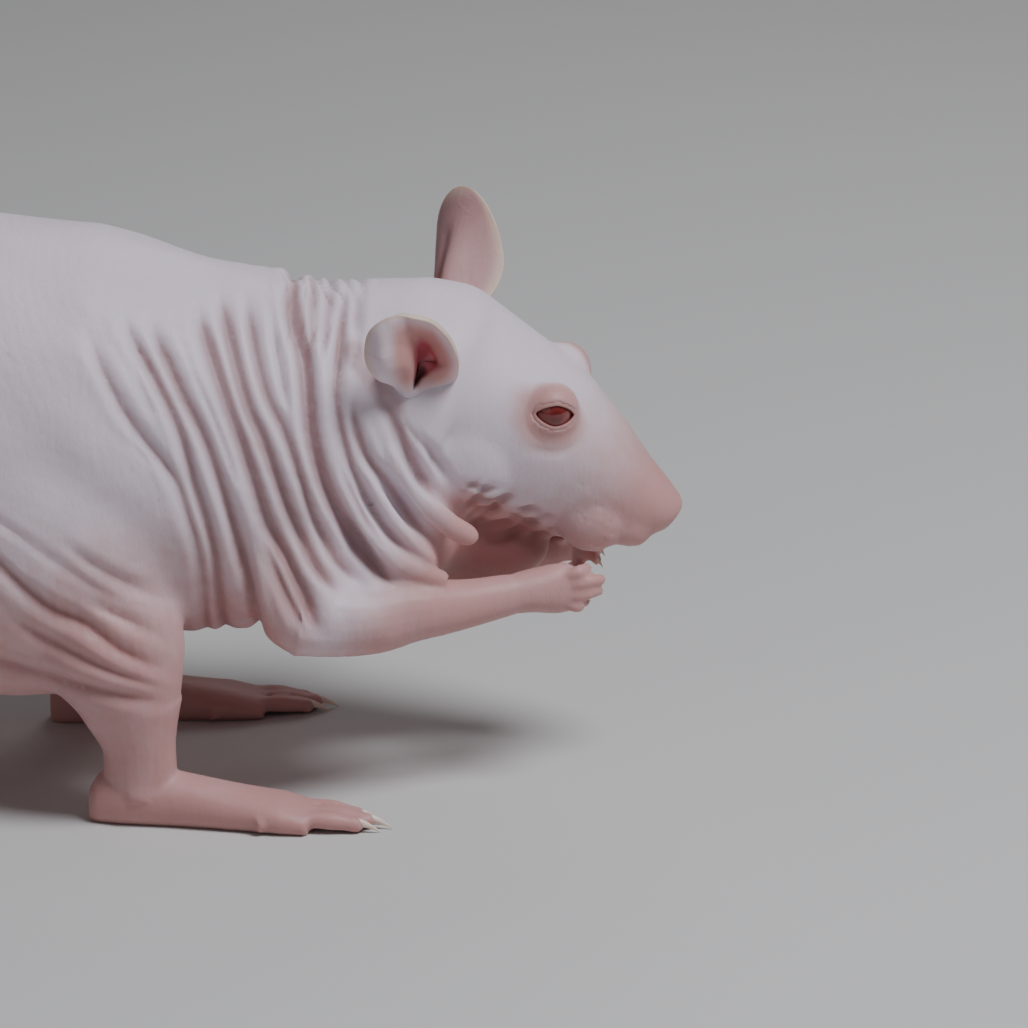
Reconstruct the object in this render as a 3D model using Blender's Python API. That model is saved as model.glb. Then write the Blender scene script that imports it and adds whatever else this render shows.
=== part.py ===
# A hairless pet rat, life size, as a still museum model.
# It sits up on its hind legs with its back rounded and its forepaws held at its mouth.
# The nose points to +X, the rat's left side is +Y, and it rests on the floor at Z = 0.
# Every size below is in millimetres. The last step turns the finished solids to metres
# and sets the origin at the bottom centre of their common box.

import math

import bmesh
import bpy
import numpy as np
from mathutils import Matrix, Vector

# General
METRES_PER_MM = 0.001
GAP = 0.3
SIDES = {"right": -1, "left": 1}
FLESH_TRIANGLES = 4600
BODY_VOXEL = 0.9
BODY_BLEND = 14
HEAD_VOXEL = 0.5
HEAD_BLEND = 5

# Trunk: centre along X, centre height, half width, half height, lean of the ring in degrees
TRUNK_RINGS = [
    (-53.0, 40.5, 5.6, 6.2, 0.0),
    (-49.0, 43.5, 10.5, 12.0, 0.0),
    (-41.0, 46.5, 17.5, 20.0, 0.0),
    (-26.0, 49.5, 24.5, 26.5, 0.0),
    (-6.0, 51.5, 27.0, 29.5, 0.0),
    (14.0, 50.5, 26.5, 28.5, 0.0),
    (30.0, 48.0, 24.0, 26.0, 0.0),
    (44.0, 47.0, 21.0, 24.2, 4.0),
    (55.0, 51.0, 17.0, 21.0, 12.0),
    (63.0, 53.5, 13.5, 16.5, 22.0),
]

# Head: the nose tip, and how the head is pitched down, turned and leaned towards the right
NOSE_TIP = Vector((95.3, 0.0, 38.1))
HEAD_PITCH = 39.0
HEAD_TURN = -3.0
HEAD_LEAN = 7.0
# Distance behind the nose tip, top, bottom, half width, squareness of the section
SKULL_RINGS = [
    (0.2, 0.9, -3.4, 2.4, 2.1),
    (1.4, 1.7, -5.2, 3.9, 2.1),
    (4.0, 2.3, -8.0, 5.5, 2.2),
    (8.0, 3.1, -10.6, 6.8, 2.3),
    (14.0, 4.9, -13.0, 8.7, 2.3),
    (21.0, 6.4, -17.0, 11.0, 2.4),
    (28.0, 6.5, -20.0, 13.0, 2.4),
    (35.0, 6.3, -21.8, 14.4, 2.3),
    (42.0, 6.2, -23.0, 14.8, 2.2),
    (49.0, 4.6, -25.0, 15.0, 2.1),
]
JAW_RINGS = [
    (6.0, -9.2, -11.2, 1.9, 2.0),
    (8.5, -8.6, -12.3, 3.5, 2.0),
    (13.0, -8.5, -14.6, 5.9, 2.1),
    (20.0, -8.5, -18.6, 9.0, 2.2),
    (28.0, -9.5, -21.5, 11.5, 2.2),
]
# Rounded masses on the head: behind the nose, out to the side, up, and three radii
HEAD_SWELLS = [
    (5.4, 3.4, -5.9, 4.4, 3.4, 4.2),
    (10.0, 5.0, -7.2, 5.2, 3.5, 4.8),
    (31.0, 8.0, -10.0, 10.0, 6.8, 9.0),
    (24.7, 6.2, 1.6, 4.8, 3.8, 3.8),
]
# Masses in front of the trunk: the chest, the throat under the jaw and the loose skin beside it
CHEST_SWELLS = [
    ((56.5, 0.0, 38.5), (12.5, 13.5, 11.0)),
    ((66.0, 0.0, 34.0), (10.0, 6.0, 5.8)),
    ((58.5, -8.0, 39.5), (9.5, 6.0, 10.5)),
    ((58.5, 8.0, 39.5), (9.5, 6.0, 10.5)),
]

# Eyes
EYE_RADIUS = 3.25
EYE_PLACE = (24.7, 7.4, 2.9)
LID_THICKNESS = 0.8
LID_OPENING = (5.6, 3.3)
LID_SLANT = -28.0

# Nostrils and mouth
NOSTRIL_PLACE = (1.1, 1.25, -0.9)
NOSTRIL_RADII = (1.3, 0.5, 0.8)
MOUTH_BACK = 14.5
MOUTH_HEIGHT = 0.7

# Ears
EAR_ROOT = {"right": (42.2, 11.0, -3.0), "left": (43.2, 11.0, -3.0)}
EAR_LENGTH = {"right": 18.0, "left": 19.0}
EAR_HALF_WIDTH = {"right": 6.4, "left": 7.0}
# How strongly the cup curves across the ear at its root and at its tip, in 1/mm
EAR_CURVE = (0.17, 0.03)
EAR_TIP_BEND = 0.8
EAR_SUNK = 4.0
# The hollow at the ear's root: along the ear, out of its cup, and three radii
EAR_HOLLOW = (2.4, 2.2, 4.4, 2.4, 2.6)
EAR_WALL = 0.9
EAR_RISE = {"right": 39.0, "left": 48.0}
EAR_LEAN_BACK = {"right": 13.0, "left": -10.0}
EAR_OPENING = {"right": (0.40, 0.85, -0.35), "left": (0.80, 0.55, -0.35)}

# Hind legs of the right side; the left leg stands a little further back
LEFT_LEG_BACK = 9.0
THIGH_CENTRE = (3.5, 16.5, 40.5)
THIGH_RADII = (25.0, 12.0, 23.5)
SHANK_LINE = [
    (12.0, 17.0, 38.0, 6.0, 8.0),
    (15.0, 19.5, 31.0, 7.6, 10.5),
    (17.6, 20.8, 24.0, 7.6, 10.0),
    (19.4, 21.0, 17.0, 5.6, 7.2),
    (20.3, 20.8, 11.5, 4.4, 5.2),
    (20.4, 20.4, 7.0, 4.2, 5.0),
]
ANKLE_HEIGHT = 9.0
KNEE_HEIGHT = 20.5
HEEL = (14.2, 19.6)
FOOT_SPLAY = 6.5
# Distance from the heel, half width, height of the upper side
FOOT_RINGS = [
    (-0.9, 1.6, 4.6),
    (0.4, 3.0, 6.6),
    (4.0, 3.9, 8.0),
    (11.0, 3.8, 7.2),
    (20.0, 4.3, 5.4),
    (26.0, 5.0, 4.4),
    (30.0, 4.6, 3.2),
]
# Where each hind toe starts, across the foot, its length and its fan angle
HIND_TOES = [
    (23.0, -4.0, 8.0, -16.0),
    (28.0, -2.7, 9.6, -6.0),
    (28.6, 0.0, 10.4, 0.0),
    (28.0, 2.7, 9.6, 6.0),
    (22.0, 4.1, 7.0, 18.0),
]
TOE_RADIUS = 1.35
CLAW_LENGTH = 2.4

# Forelegs
UPPER_ARM_LINE = [
    (35.0, 10.0, 50.0, 7.0, 8.0),
    (37.0, 12.0, 44.0, 9.0, 10.5),
    (40.0, 14.5, 37.0, 8.0, 9.8),
    (43.0, 16.8, 31.5, 6.8, 8.0),
    (45.0, 17.6, 29.3, 5.6, 6.4),
]
FOREARM_LINE = [
    (42.0, 18.8, 29.3, 5.6, 5.6),
    (50.0, 17.6, 28.4, 5.0, 5.2),
    (58.0, 14.8, 28.6, 4.1, 4.5),
    (65.0, 12.0, 28.6, 3.3, 3.5),
    (71.5, 9.6, 29.2, 2.7, 2.9),
]
PALM_LINE = [
    (71.8, 9.5, 29.2, 2.6, 2.8),
    (74.5, 8.6, 29.4, 3.0, 3.1),
    (78.0, 7.9, 29.5, 2.6, 3.6),
    (80.4, 7.5, 29.5, 1.8, 3.2),
]
FINGER_HEIGHTS = (32.1, 30.5, 28.8, 27.2)
FINGER_REACH = (82.4, 84.3, 84.0, 82.2)
FINGER_RADIUS = 0.95
THUMB_TIP = (79.5, 5.4, 32.4)

# Tail
TAIL_DROP = [(-46.0, 0.0, 43.5), (-54.0, 0.0, 40.0), (-62.0, 0.3, 33.0), (-69.0, 1.0, 24.5),
             (-76.0, 2.2, 15.5), (-84.0, 4.2, 8.3), (-93.0, 7.0, 4.4), (-102.0, 11.0, 3.0)]
TAIL_FLOOR_TURN = 52.0
TAIL_LENGTH = 172.0
TAIL_BASE_RADIUS = 4.8
TAIL_TIP_RADIUS = 0.9
TAIL_PIECES = 4
TAIL_STUB = 4.0
TAIL_FLAT = 0.15

# Skin folds: depth, half width of the valley, then points of the valley line as the distance
# along X and the height as seen from 18 degrees above, which is the same on both flanks
FOLD_VIEW = math.radians(18.0)
FOLDS = [
    (1.0, 0.9, (17.5, 62.0), (24.9, 51.9), (28.0, 43.5), (30.4, 35.1), (31.5, 27.0), (31.9, 18.0)),
    (1.1, 0.9, (20.5, 62.0), (27.4, 51.9), (31.2, 43.5), (33.9, 35.1), (35.4, 26.7), (36.7, 18.0)),
    (1.3, 1.1, (27.5, 63.0), (33.0, 51.9), (35.9, 43.5), (38.4, 35.1), (42.0, 27.5), (45.1, 19.0)),
    (1.0, 0.8, (37.6, 37.0), (38.8, 33.0), (39.3, 29.0), (40.6, 25.5), (42.5, 19.0)),
    (1.3, 1.0, (31.0, 64.0), (35.6, 51.9), (38.9, 43.5), (42.0, 35.1), (45.2, 28.5), (49.0, 22.5)),
    (1.0, 0.9, (35.0, 66.0), (38.6, 51.9), (41.2, 46.3), (43.1, 40.7), (44.9, 35.1), (50.0, 25.7)),
    (1.7, 1.2, (43.9, 72.0), (43.5, 57.5), (44.7, 46.3), (46.1, 40.7), (48.7, 35.1), (55.2, 25.5)),
    (0.7, 0.7, (47.4, 45.0), (49.1, 40.7), (50.5, 37.9), (51.8, 35.1), (54.6, 30.5)),
    (1.3, 1.0, (47.0, 72.0), (47.9, 51.9), (48.9, 46.3), (50.8, 40.7), (53.8, 35.1), (60.5, 28.0)),
    (1.4, 1.1, (50.0, 55.0), (50.8, 47.0), (54.5, 40.7), (58.2, 35.1), (63.5, 28.0)),
    (1.2, 1.0, (53.5, 54.5), (57.0, 46.3), (59.4, 40.7), (61.4, 37.9), (66.0, 32.0)),
    (0.7, 0.8, (56.0, 50.5), (59.2, 46.3), (61.2, 43.5), (64.8, 38.0), (67.0, 35.5)),
]
# Creases over the thigh and knee: depth, half width, points from the rump side to the knee
KNEE_CREASES = [
    (0.9, 1.1, (-6.0, 35.0), (0.0, 31.6), (8.4, 23.9), (14.0, 20.9), (19.6, 16.9), (27.3, 13.9)),
    (0.7, 0.9, (2.8, 22.3), (8.4, 19.0), (16.8, 14.8), (26.6, 11.3)),
    (0.8, 1.0, (-6.0, 18.0), (2.8, 15.5), (11.2, 13.0), (18.2, 11.3), (26.6, 10.0)),
    (0.6, 0.9, (10.0, 32.5), (16.8, 28.1), (22.0, 25.5), (26.5, 23.5)),
    (0.6, 0.9, (12.6, 24.6), (18.2, 22.3), (27.0, 18.3)),
]
FOLD_FADE = 4.0

# Cuts between the nodes of flesh
THIGH_CUT_CENTRE = (4.0, 26.0, 41.0)
THIGH_CUT_RADII = (26.0, 16.0, 24.5)
ARM_CUT_CENTRE = (42.0, 24.0, 33.5)
ARM_CUT_RADII = (10.5, 12.0, 12.5)
HEAD_CUT = (53.5, 52.0)
HEAD_CUT_LEAN = -22.0
NECK_CUT = (40.5, 52.0)
NECK_CUT_LEAN = -6.0
WAIST_X = -12.0

# Finishes: colour and roughness
SKIN = ("skin", (0.80, 0.56, 0.52), 0.55)
PAW_SKIN = ("paw_skin", (0.85, 0.48, 0.44), 0.5)
EAR_SKIN = ("ear_skin", (0.86, 0.55, 0.48), 0.5)
EYE_GLOSS = ("eye_gloss", (0.30, 0.02, 0.02), 0.08)


def clear_scene():
    for item in list(bpy.data.objects):
        bpy.data.objects.remove(item, do_unlink=True)


def new_material(finish):
    name, colour, roughness = finish
    material = bpy.data.materials.get(name)
    if material is None:
        material = bpy.data.materials.new(name)
        material.use_nodes = True
        shader = material.node_tree.nodes["Principled BSDF"]
        shader.inputs["Base Color"].default_value = (*colour, 1.0)
        shader.inputs["Roughness"].default_value = roughness
        shader.inputs["Metallic"].default_value = 0.0
        material.diffuse_color = (*colour, 1.0)
    return material


def new_object(name, bm):
    mesh = bpy.data.meshes.new(name)
    bm.to_mesh(mesh)
    bm.free()
    item = bpy.data.objects.new(name, mesh)
    bpy.context.scene.collection.objects.link(item)
    return item


def remove_object(item):
    bpy.data.objects.remove(item, do_unlink=True)


def bake(item):
    # The object's modifiers are turned into its own mesh.
    depsgraph = bpy.context.evaluated_depsgraph_get()
    depsgraph.update()
    mesh = bpy.data.meshes.new_from_object(item.evaluated_get(depsgraph))
    item.modifiers.clear()
    item.data = mesh
    return item


def duplicate(item, name):
    twin = item.copy()
    twin.data = item.data.copy()
    twin.name = name
    bpy.context.scene.collection.objects.link(twin)
    return twin


def add_ring(bm, frame, half_across, half_up, power=2.0, sides=24):
    # A ring of vertices round the frame's X axis, an ellipse or a squarer oval.
    ring = bmesh.ops.create_circle(bm, segments=sides, radius=1.0)["verts"]
    for vert in ring:
        across, up = vert.co.x, vert.co.y
        across = math.copysign(abs(across) ** (2.0 / power), across)
        up = math.copysign(abs(up) ** (2.0 / power), up)
        vert.co = frame @ Vector((0.0, across * half_across, up * half_up))
    return ring


def loft(name, sections, sides=24):
    # A closed body through a row of rings, each given as frame, half width, half height, power.
    bm = bmesh.new()
    loops = []
    for frame, half_across, half_up, power in sections:
        ring = add_ring(bm, frame, half_across, half_up, power, sides)
        loops.append({edge for vert in ring for edge in vert.link_edges})
    for near, far in zip(loops, loops[1:]):
        bmesh.ops.bridge_loops(bm, edges=list(near | far))
    for ending in (loops[0], loops[-1]):
        bmesh.ops.contextual_create(bm, geom=list(ending))
    bmesh.ops.recalc_face_normals(bm, faces=bm.faces)
    return new_object(name, bm)


def curve_points(points, steps):
    # A smooth line through the points, by Catmull and Rom's rule, with all values blended alike.
    line = [np.array(point, dtype=float) for point in points]
    line = [2 * line[0] - line[1]] + line + [2 * line[-1] - line[-2]]
    result = []
    for before, start, end, after in zip(line, line[1:], line[2:], line[3:]):
        for step in range(steps):
            t = step / steps
            result.append(0.5 * (2 * start + (end - before) * t
                                 + (2 * before - 5 * start + 4 * end - after) * t * t
                                 + (3 * start - before - 3 * end + after) * t * t * t))
    result.append(line[-2])
    return result


def path_frames(centres, upward):
    # One frame for each point, its X axis along the path.
    frames = []
    last = len(centres) - 1
    for index, centre in enumerate(centres):
        ahead = Vector(centres[min(index + 1, last)]) - Vector(centres[max(index - 1, 0)])
        forward = ahead.normalized()
        across = Vector(upward).cross(forward).normalized()
        up = forward.cross(across)
        frame = Matrix((forward, across, up)).transposed().to_4x4()
        frame.translation = Vector(centre)
        frames.append(frame)
    return frames


def tube(name, line, upward=(0.0, 0.0, 1.0), sides=16, steps=3, side=-1):
    # A tube through points given as X, distance out from the middle, Z, half width, half height.
    stations = curve_points(line, steps)
    centres = [(station[0], side * station[1], station[2]) for station in stations]
    frames = path_frames(centres, upward)
    sections = [(frame, station[3], station[4], 2.0) for frame, station in zip(frames, stations)]
    return loft(name, sections, sides)


def ellipsoid(name, frame, radii, segments=32, rings=20):
    bm = bmesh.new()
    bmesh.ops.create_uvsphere(bm, u_segments=segments, v_segments=rings, radius=1.0)
    bmesh.ops.transform(bm, matrix=frame @ Matrix.Diagonal((*radii, 1.0)), verts=bm.verts)
    return new_object(name, bm)


def box(name, low, high, frame=None):
    bm = bmesh.new()
    bmesh.ops.create_cube(bm, size=1.0)
    low, high = Vector(low), Vector(high)
    matrix = Matrix.Translation((low + high) / 2) @ Matrix.Diagonal((*(high - low), 1.0))
    if frame is not None:
        matrix = frame @ matrix
    bmesh.ops.transform(bm, matrix=matrix, verts=bm.verts)
    return new_object(name, bm)


def keep_largest_surface(item):
    # Two faces that share an edge belong together. Only the group that reaches furthest stays.
    bm = bmesh.new()
    bm.from_mesh(item.data)
    bmesh.ops.remove_doubles(bm, verts=bm.verts, dist=0.0005)
    bmesh.ops.dissolve_degenerate(bm, edges=bm.edges, dist=0.0005)
    remaining = set(bm.faces)
    groups = []
    while remaining:
        stack = [remaining.pop()]
        group = set(stack)
        while stack:
            face = stack.pop()
            for edge in face.edges:
                if len(edge.link_faces) != 2:
                    continue
                for other in edge.link_faces:
                    if other in remaining:
                        remaining.discard(other)
                        group.add(other)
                        stack.append(other)
        groups.append(group)
    groups.sort(key=group_reach, reverse=True)
    loose = [face for group in groups[1:] for face in group]
    bmesh.ops.delete(bm, geom=loose, context="FACES")
    bm.to_mesh(item.data)
    bm.free()
    return item


def group_reach(group):
    places = np.array([vert.co[:] for face in group for vert in face.verts])
    return float(np.prod(places.max(axis=0) - places.min(axis=0) + 0.001))


def cut(item, operation, *tools, keep_tools=False):
    # One Boolean with all the tools in a collection, then the largest closed surface is kept.
    gathered = bpy.data.collections.new("cutters")
    bpy.context.scene.collection.children.link(gathered)
    for tool in tools:
        gathered.objects.link(tool)
        tool.display_type = "WIRE"
        tool.hide_render = True
    boolean = item.modifiers.new("cut", "BOOLEAN")
    boolean.operation = operation
    boolean.operand_type = "COLLECTION"
    boolean.collection = gathered
    boolean.solver = "EXACT"
    bake(item)
    for tool in tools:
        gathered.objects.unlink(tool)
        if not keep_tools:
            remove_object(tool)
    bpy.data.collections.remove(gathered)
    return keep_largest_surface(item)


def side_point(point, side):
    return Vector((point[0], side * point[1], point[2]))


def head_frame():
    turn = Matrix.Rotation(math.radians(HEAD_TURN), 4, "Z")
    pitch = Matrix.Rotation(math.radians(HEAD_PITCH), 4, "Y")
    lean = Matrix.Rotation(math.radians(HEAD_LEAN), 4, "X")
    return Matrix.Translation(NOSE_TIP) @ turn @ pitch @ lean


def head_place(place, side=1):
    # A place on the head: distance behind the nose, out to one side, up.
    behind, out, up = place
    return head_frame() @ Matrix.Translation((-behind, side * out, up))


def trunk():
    sections = []
    for x, z, half_width, half_height, lean in TRUNK_RINGS:
        frame = Matrix.Translation((x, 0.0, z)) @ Matrix.Rotation(math.radians(lean), 4, "Y")
        sections.append((frame, half_width, half_height, 2.15))
    return loft("trunk", sections, 40)


def head_loft(name, rings, sides):
    sections = []
    for behind, top, bottom, half_width, power in rings:
        frame = head_place((behind, 0.0, (top + bottom) / 2))
        sections.append((frame, half_width, (top - bottom) / 2, power))
    return loft(name, sections, sides)


def head_swells():
    swells = []
    for behind, out, up, long, wide, high in HEAD_SWELLS:
        for side in SIDES.values():
            frame = head_place((behind, out, up), side)
            swells.append(ellipsoid("swell", frame, (long, wide, high), 24, 16))
    return swells


def eye_frame(side):
    # The eye looks outwards, a little up and a little forward.
    look = Matrix.Rotation(side * math.radians(74.0), 4, "Z")
    rise = Matrix.Rotation(math.radians(-16.0), 4, "Y")
    return head_place(EYE_PLACE, side) @ look @ rise


def lid_cutter(side):
    # An almond with pointed corners, pushed through the lids along the eye's line of sight.
    slant = Matrix.Rotation(side * math.radians(LID_SLANT), 4, "X")
    frame = eye_frame(side) @ slant
    width, height = LID_OPENING
    sections = []
    for ahead in (EYE_RADIUS * 0.45, EYE_RADIUS + 4.0):
        sections.append((frame @ Matrix.Translation((ahead, 0.0, 0.0)), width / 2, height / 2, 1.6))
    return loft("lid_cutter", sections, 24)


def nostril_cutter(side):
    turn = Matrix.Rotation(side * math.radians(38.0), 4, "Z")
    return ellipsoid("nostril", head_place(NOSTRIL_PLACE, side) @ turn, NOSTRIL_RADII, 16, 12)


def mouth_cutter():
    # A thin curved slot between the lips, open at both sides and closed in the middle of the head.
    bm = bmesh.new()
    frame = head_frame()
    rows = []
    for step in range(9):
        t = step / 8
        behind = 2.0 + (MOUTH_BACK - 2.0) * t
        up = -6.4 - 5.0 * math.sin(math.radians(90.0 * t)) - 0.3
        half = MOUTH_HEIGHT / 2 * (1.0 - 0.6 * t)
        row = []
        for out, rise in ((-12.0, -half), (12.0, -half), (12.0, half), (-12.0, half)):
            row.append(bm.verts.new(frame @ Vector((-behind, out, up + rise))))
        rows.append(row)
    for near, far in zip(rows, rows[1:]):
        for index in range(4):
            following = (index + 1) % 4
            bm.faces.new((near[index], near[following], far[following], far[index]))
    bm.faces.new(rows[0])
    bm.faces.new(rows[-1])
    bmesh.ops.recalc_face_normals(bm, faces=bm.faces)
    return new_object("mouth", bm)


def thigh(side):
    back = LEFT_LEG_BACK if side > 0 else 0.0
    centre = side_point(THIGH_CENTRE, side) - Vector((back, 0.0, 0.0))
    return ellipsoid("thigh", Matrix.Translation(centre), THIGH_RADII)


def shifted(line, side):
    back = LEFT_LEG_BACK if side > 0 else 0.0
    return [(point[0] - back, *point[1:]) for point in line]


def tail_route():
    # Down from the rump in a soft curve, then along the floor in a wide turn to the left.
    drop = [tuple(point) for point in curve_points(TAIL_DROP, 6)]
    length = sum(math.dist(near, far) for near, far in zip(drop, drop[1:]))
    route = list(drop)
    floor = 0.0
    heading = math.atan2(drop[-1][1] - drop[-2][1], drop[-1][0] - drop[-2][0])
    step = 3.0
    while length < TAIL_LENGTH:
        x, y = route[-1][:2]
        heading -= step / TAIL_FLOOR_TURN
        x += step * math.cos(heading)
        y += step * math.sin(heading)
        route.append((x, y, floor))
        length += step
    lengths = np.concatenate([[0.0], np.cumsum([math.dist(a, b) for a, b in zip(route, route[1:])])])
    return np.array(route), lengths


def tail_radius(share):
    return TAIL_BASE_RADIUS + (TAIL_TIP_RADIUS - TAIL_BASE_RADIUS) * max(share, 0.0) ** 0.85


def tail_place(station):
    # The middle of the tail at a distance from its base; on the floor it lies on it.
    route, lengths = tail_route()
    place = [float(np.interp(station, lengths, route[:, axis])) for axis in range(3)]
    radius = tail_radius(station / lengths[-1])
    place[2] = max(radius - TAIL_FLAT, place[2])
    return Vector(place), radius


def tail_frame(station):
    behind = tail_place(station - 1.5)[0]
    ahead = tail_place(station + 1.5)[0]
    frame = path_frames([behind, ahead], (0.0, 0.0, 1.0))[0]
    frame.translation = tail_place(station)[0]
    return frame


def tail_length(name, start, end, rings, sides=16, round_end=False):
    # One length of the tail between two distances from its base.
    sections = []
    for station in np.linspace(start, end, rings):
        radius = tail_place(station)[1]
        sections.append((tail_frame(station), radius, radius, 2.0))
    if round_end:
        for reach, size in ((0.5, 0.87), (0.87, 0.5), (1.0, 0.15)):
            frame = tail_frame(end) @ Matrix.Translation((reach * TAIL_TIP_RADIUS, 0.0, 0.0))
            size *= TAIL_TIP_RADIUS
            sections.append((frame, size, size, 2.0))
    return loft(name, sections, sides)


def valley(along, height, depth, half_width, points, by_height):
    # One valley of the skin: its middle line is a cubic through the points, its ends fade out.
    degree = min(3, len(points) - 1)
    if not by_height:
        along, height = height, along
        points = [(point[1], point[0]) for point in points]
    runs = np.array([point[1] for point in points])
    rule = np.polyfit(runs, [point[0] for point in points], degree)
    slope = np.polyval(np.polyder(rule), height)
    distance = np.abs(along - np.polyval(rule, height)) / np.sqrt(1.0 + slope ** 2)
    fade = np.minimum((height - runs.min()) / FOLD_FADE, (runs.max() - height) / (2 * FOLD_FADE))
    return depth * np.clip(fade, 0.0, 1.0) * np.exp(-(distance / half_width) ** 1.5)


def fold_depth(places):
    # How far each place of the skin sinks into the folds' valleys.
    along = places[:, 0]
    height = places[:, 2] * math.cos(FOLD_VIEW) - np.abs(places[:, 1]) * math.sin(FOLD_VIEW)
    sunk = np.zeros(len(places))
    for depth, half_width, *points in FOLDS:
        sunk = np.maximum(sunk, valley(along, height, depth, half_width, points, True))
    back = np.where(places[:, 1] > 0.0, LEFT_LEG_BACK, 0.0)
    outer = np.clip((np.abs(places[:, 1]) - 15.0) / 4.0, 0.0, 1.0)
    for depth, half_width, *points in KNEE_CREASES:
        crease = valley(along + back, height, depth, half_width, points, False)
        sunk = np.maximum(sunk, crease * outer)
    return sunk


def mesh_places(mesh, what):
    values = np.zeros(len(mesh.vertices) * 3)
    if what == "co":
        mesh.vertices.foreach_get("co", values)
    else:
        mesh.vertex_normals.foreach_get("vector", values)
    return values.reshape(-1, 3)


def press_folds(item):
    mesh = item.data
    places = mesh_places(mesh, "co")
    normals = mesh_places(mesh, "normal")
    places -= normals * fold_depth(places)[:, None]
    mesh.vertices.foreach_set("co", places.ravel())
    mesh.update()
    return item


def even_out(item, voxel, rounds):
    # One even skin over the joined pieces, then their meetings are softened.
    remesh = item.modifiers.new("even", "REMESH")
    remesh.mode = "VOXEL"
    remesh.voxel_size = voxel
    smooth = item.modifiers.new("blend", "SMOOTH")
    smooth.factor = 0.5
    smooth.iterations = rounds
    return bake(item)


def body_form():
    # Trunk, chest, thighs, shanks and upper arms, well blended where they meet.
    body = trunk()
    pieces = [tail_length("tail_root", 0.0, 14.0, 6)]
    for centre, radii in CHEST_SWELLS:
        pieces.append(ellipsoid("chest", Matrix.Translation(centre), radii))
    for side in SIDES.values():
        pieces.append(thigh(side))
        pieces.append(tube("shank", shifted(SHANK_LINE, side), (1.0, 0.0, 0.0), 20, 3, side))
        pieces.append(tube("upper_arm", UPPER_ARM_LINE, (1.0, 0.0, 0.0), 20, 3, side))
    cut(body, "UNION", *pieces)
    return even_out(body, BODY_VOXEL, BODY_BLEND)


def flesh():
    # The whole animal but for forearms, feet, ears and eyes, in one body.
    body = body_form()
    pieces = [head_loft("skull", SKULL_RINGS, 40), head_loft("jaw", JAW_RINGS, 28)]
    pieces += head_swells()
    for side in SIDES.values():
        pieces.append(ellipsoid("lids", eye_frame(side), [EYE_RADIUS + LID_THICKNESS] * 3, 28, 18))
    cut(body, "UNION", *pieces)
    carvings = [mouth_cutter()]
    for word, side in SIDES.items():
        carvings.append(ear_hollow(word, side))
        carvings.append(nostril_cutter(side))
        carvings.append(lid_cutter(side))
    cut(body, "DIFFERENCE", *carvings)
    even_out(body, HEAD_VOXEL, HEAD_BLEND)
    press_folds(body)
    triangles = sum(len(face.vertices) - 2 for face in body.data.polygons)
    fewer = body.modifiers.new("fewer", "DECIMATE")
    fewer.ratio = FLESH_TRIANGLES / triangles
    bake(body)
    return keep_largest_surface(body)


def grown(item, name, distance=GAP):
    # A copy pushed out along its normals.
    twin = duplicate(item, name)
    places = mesh_places(twin.data, "co") + mesh_places(twin.data, "normal") * distance
    twin.data.vertices.foreach_set("co", places.ravel())
    twin.data.update()
    return twin


def half_space(name, point, lean, shift, towards):
    # A large block on one side of a plane that stands across the body.
    frame = Matrix.Translation((point[0] + shift, 0.0, point[1]))
    frame = frame @ Matrix.Rotation(math.radians(lean), 4, "Y")
    low = (0.0, -90.0, -120.0) if towards > 0 else (-160.0, -90.0, -120.0)
    high = (160.0, 90.0, 120.0) if towards > 0 else (0.0, 90.0, 120.0)
    return box(name, low, high, frame)


def split_flesh(body):
    # The fused flesh is parted into its nodes by cuts that leave the gap between them.
    nodes = []
    for word, side in SIDES.items():
        outer = 60.0 * side
        inner = 11.0 * side
        near, far = min(inner, outer), max(inner, outer)
        shank = duplicate(body, f"shank_{word}")
        cut(shank, "INTERSECT", box("zone", (-40, near, ANKLE_HEIGHT + GAP), (60, far, KNEE_HEIGHT)))
        nodes.append(shank)
        cut(body, "DIFFERENCE", box("zone", (-40, near, -20), (60, far, KNEE_HEIGHT + GAP)))
    for word, side in SIDES.items():
        back = LEFT_LEG_BACK if side > 0 else 0.0
        frame = Matrix.Translation(side_point(THIGH_CUT_CENTRE, side) - Vector((back, 0, 0)))
        piece = duplicate(body, f"thigh_{word}")
        cut(piece, "INTERSECT", ellipsoid("zone", frame, THIGH_CUT_RADII, 24, 12))
        nodes.append(piece)
        wide = [radius + GAP for radius in THIGH_CUT_RADII]
        cut(body, "DIFFERENCE", ellipsoid("zone", frame, wide, 24, 12))
        frame = Matrix.Translation(side_point(ARM_CUT_CENTRE, side))
        piece = duplicate(body, f"upper_arm_{word}")
        cut(piece, "INTERSECT", ellipsoid("zone", frame, ARM_CUT_RADII, 20, 12))
        nodes.append(piece)
        wide = [radius + GAP for radius in ARM_CUT_RADII]
        cut(body, "DIFFERENCE", ellipsoid("zone", frame, wide, 20, 12))
    head = duplicate(body, "head")
    cut(head, "INTERSECT", half_space("zone", HEAD_CUT, HEAD_CUT_LEAN, 0.0, 1))
    neck = duplicate(body, "neck")
    cut(neck, "DIFFERENCE", half_space("zone", HEAD_CUT, HEAD_CUT_LEAN, -GAP, 1),
        half_space("zone", NECK_CUT, NECK_CUT_LEAN, 0.0, -1))
    torso = duplicate(body, "torso")
    cut(torso, "DIFFERENCE", half_space("zone", NECK_CUT, NECK_CUT_LEAN, -GAP, 1),
        half_space("zone", (WAIST_X, 50.0), 0.0, 0.0, -1))
    rump = duplicate(body, "rump")
    cut(rump, "DIFFERENCE", half_space("zone", (WAIST_X, 50.0), 0.0, -GAP, 1),
        tail_end_block())
    remove_object(body)
    nodes += [head, neck, torso, rump]
    for node in nodes:
        node.data.materials.append(new_material(SKIN))
    return {node.name: node for node in nodes}


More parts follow.
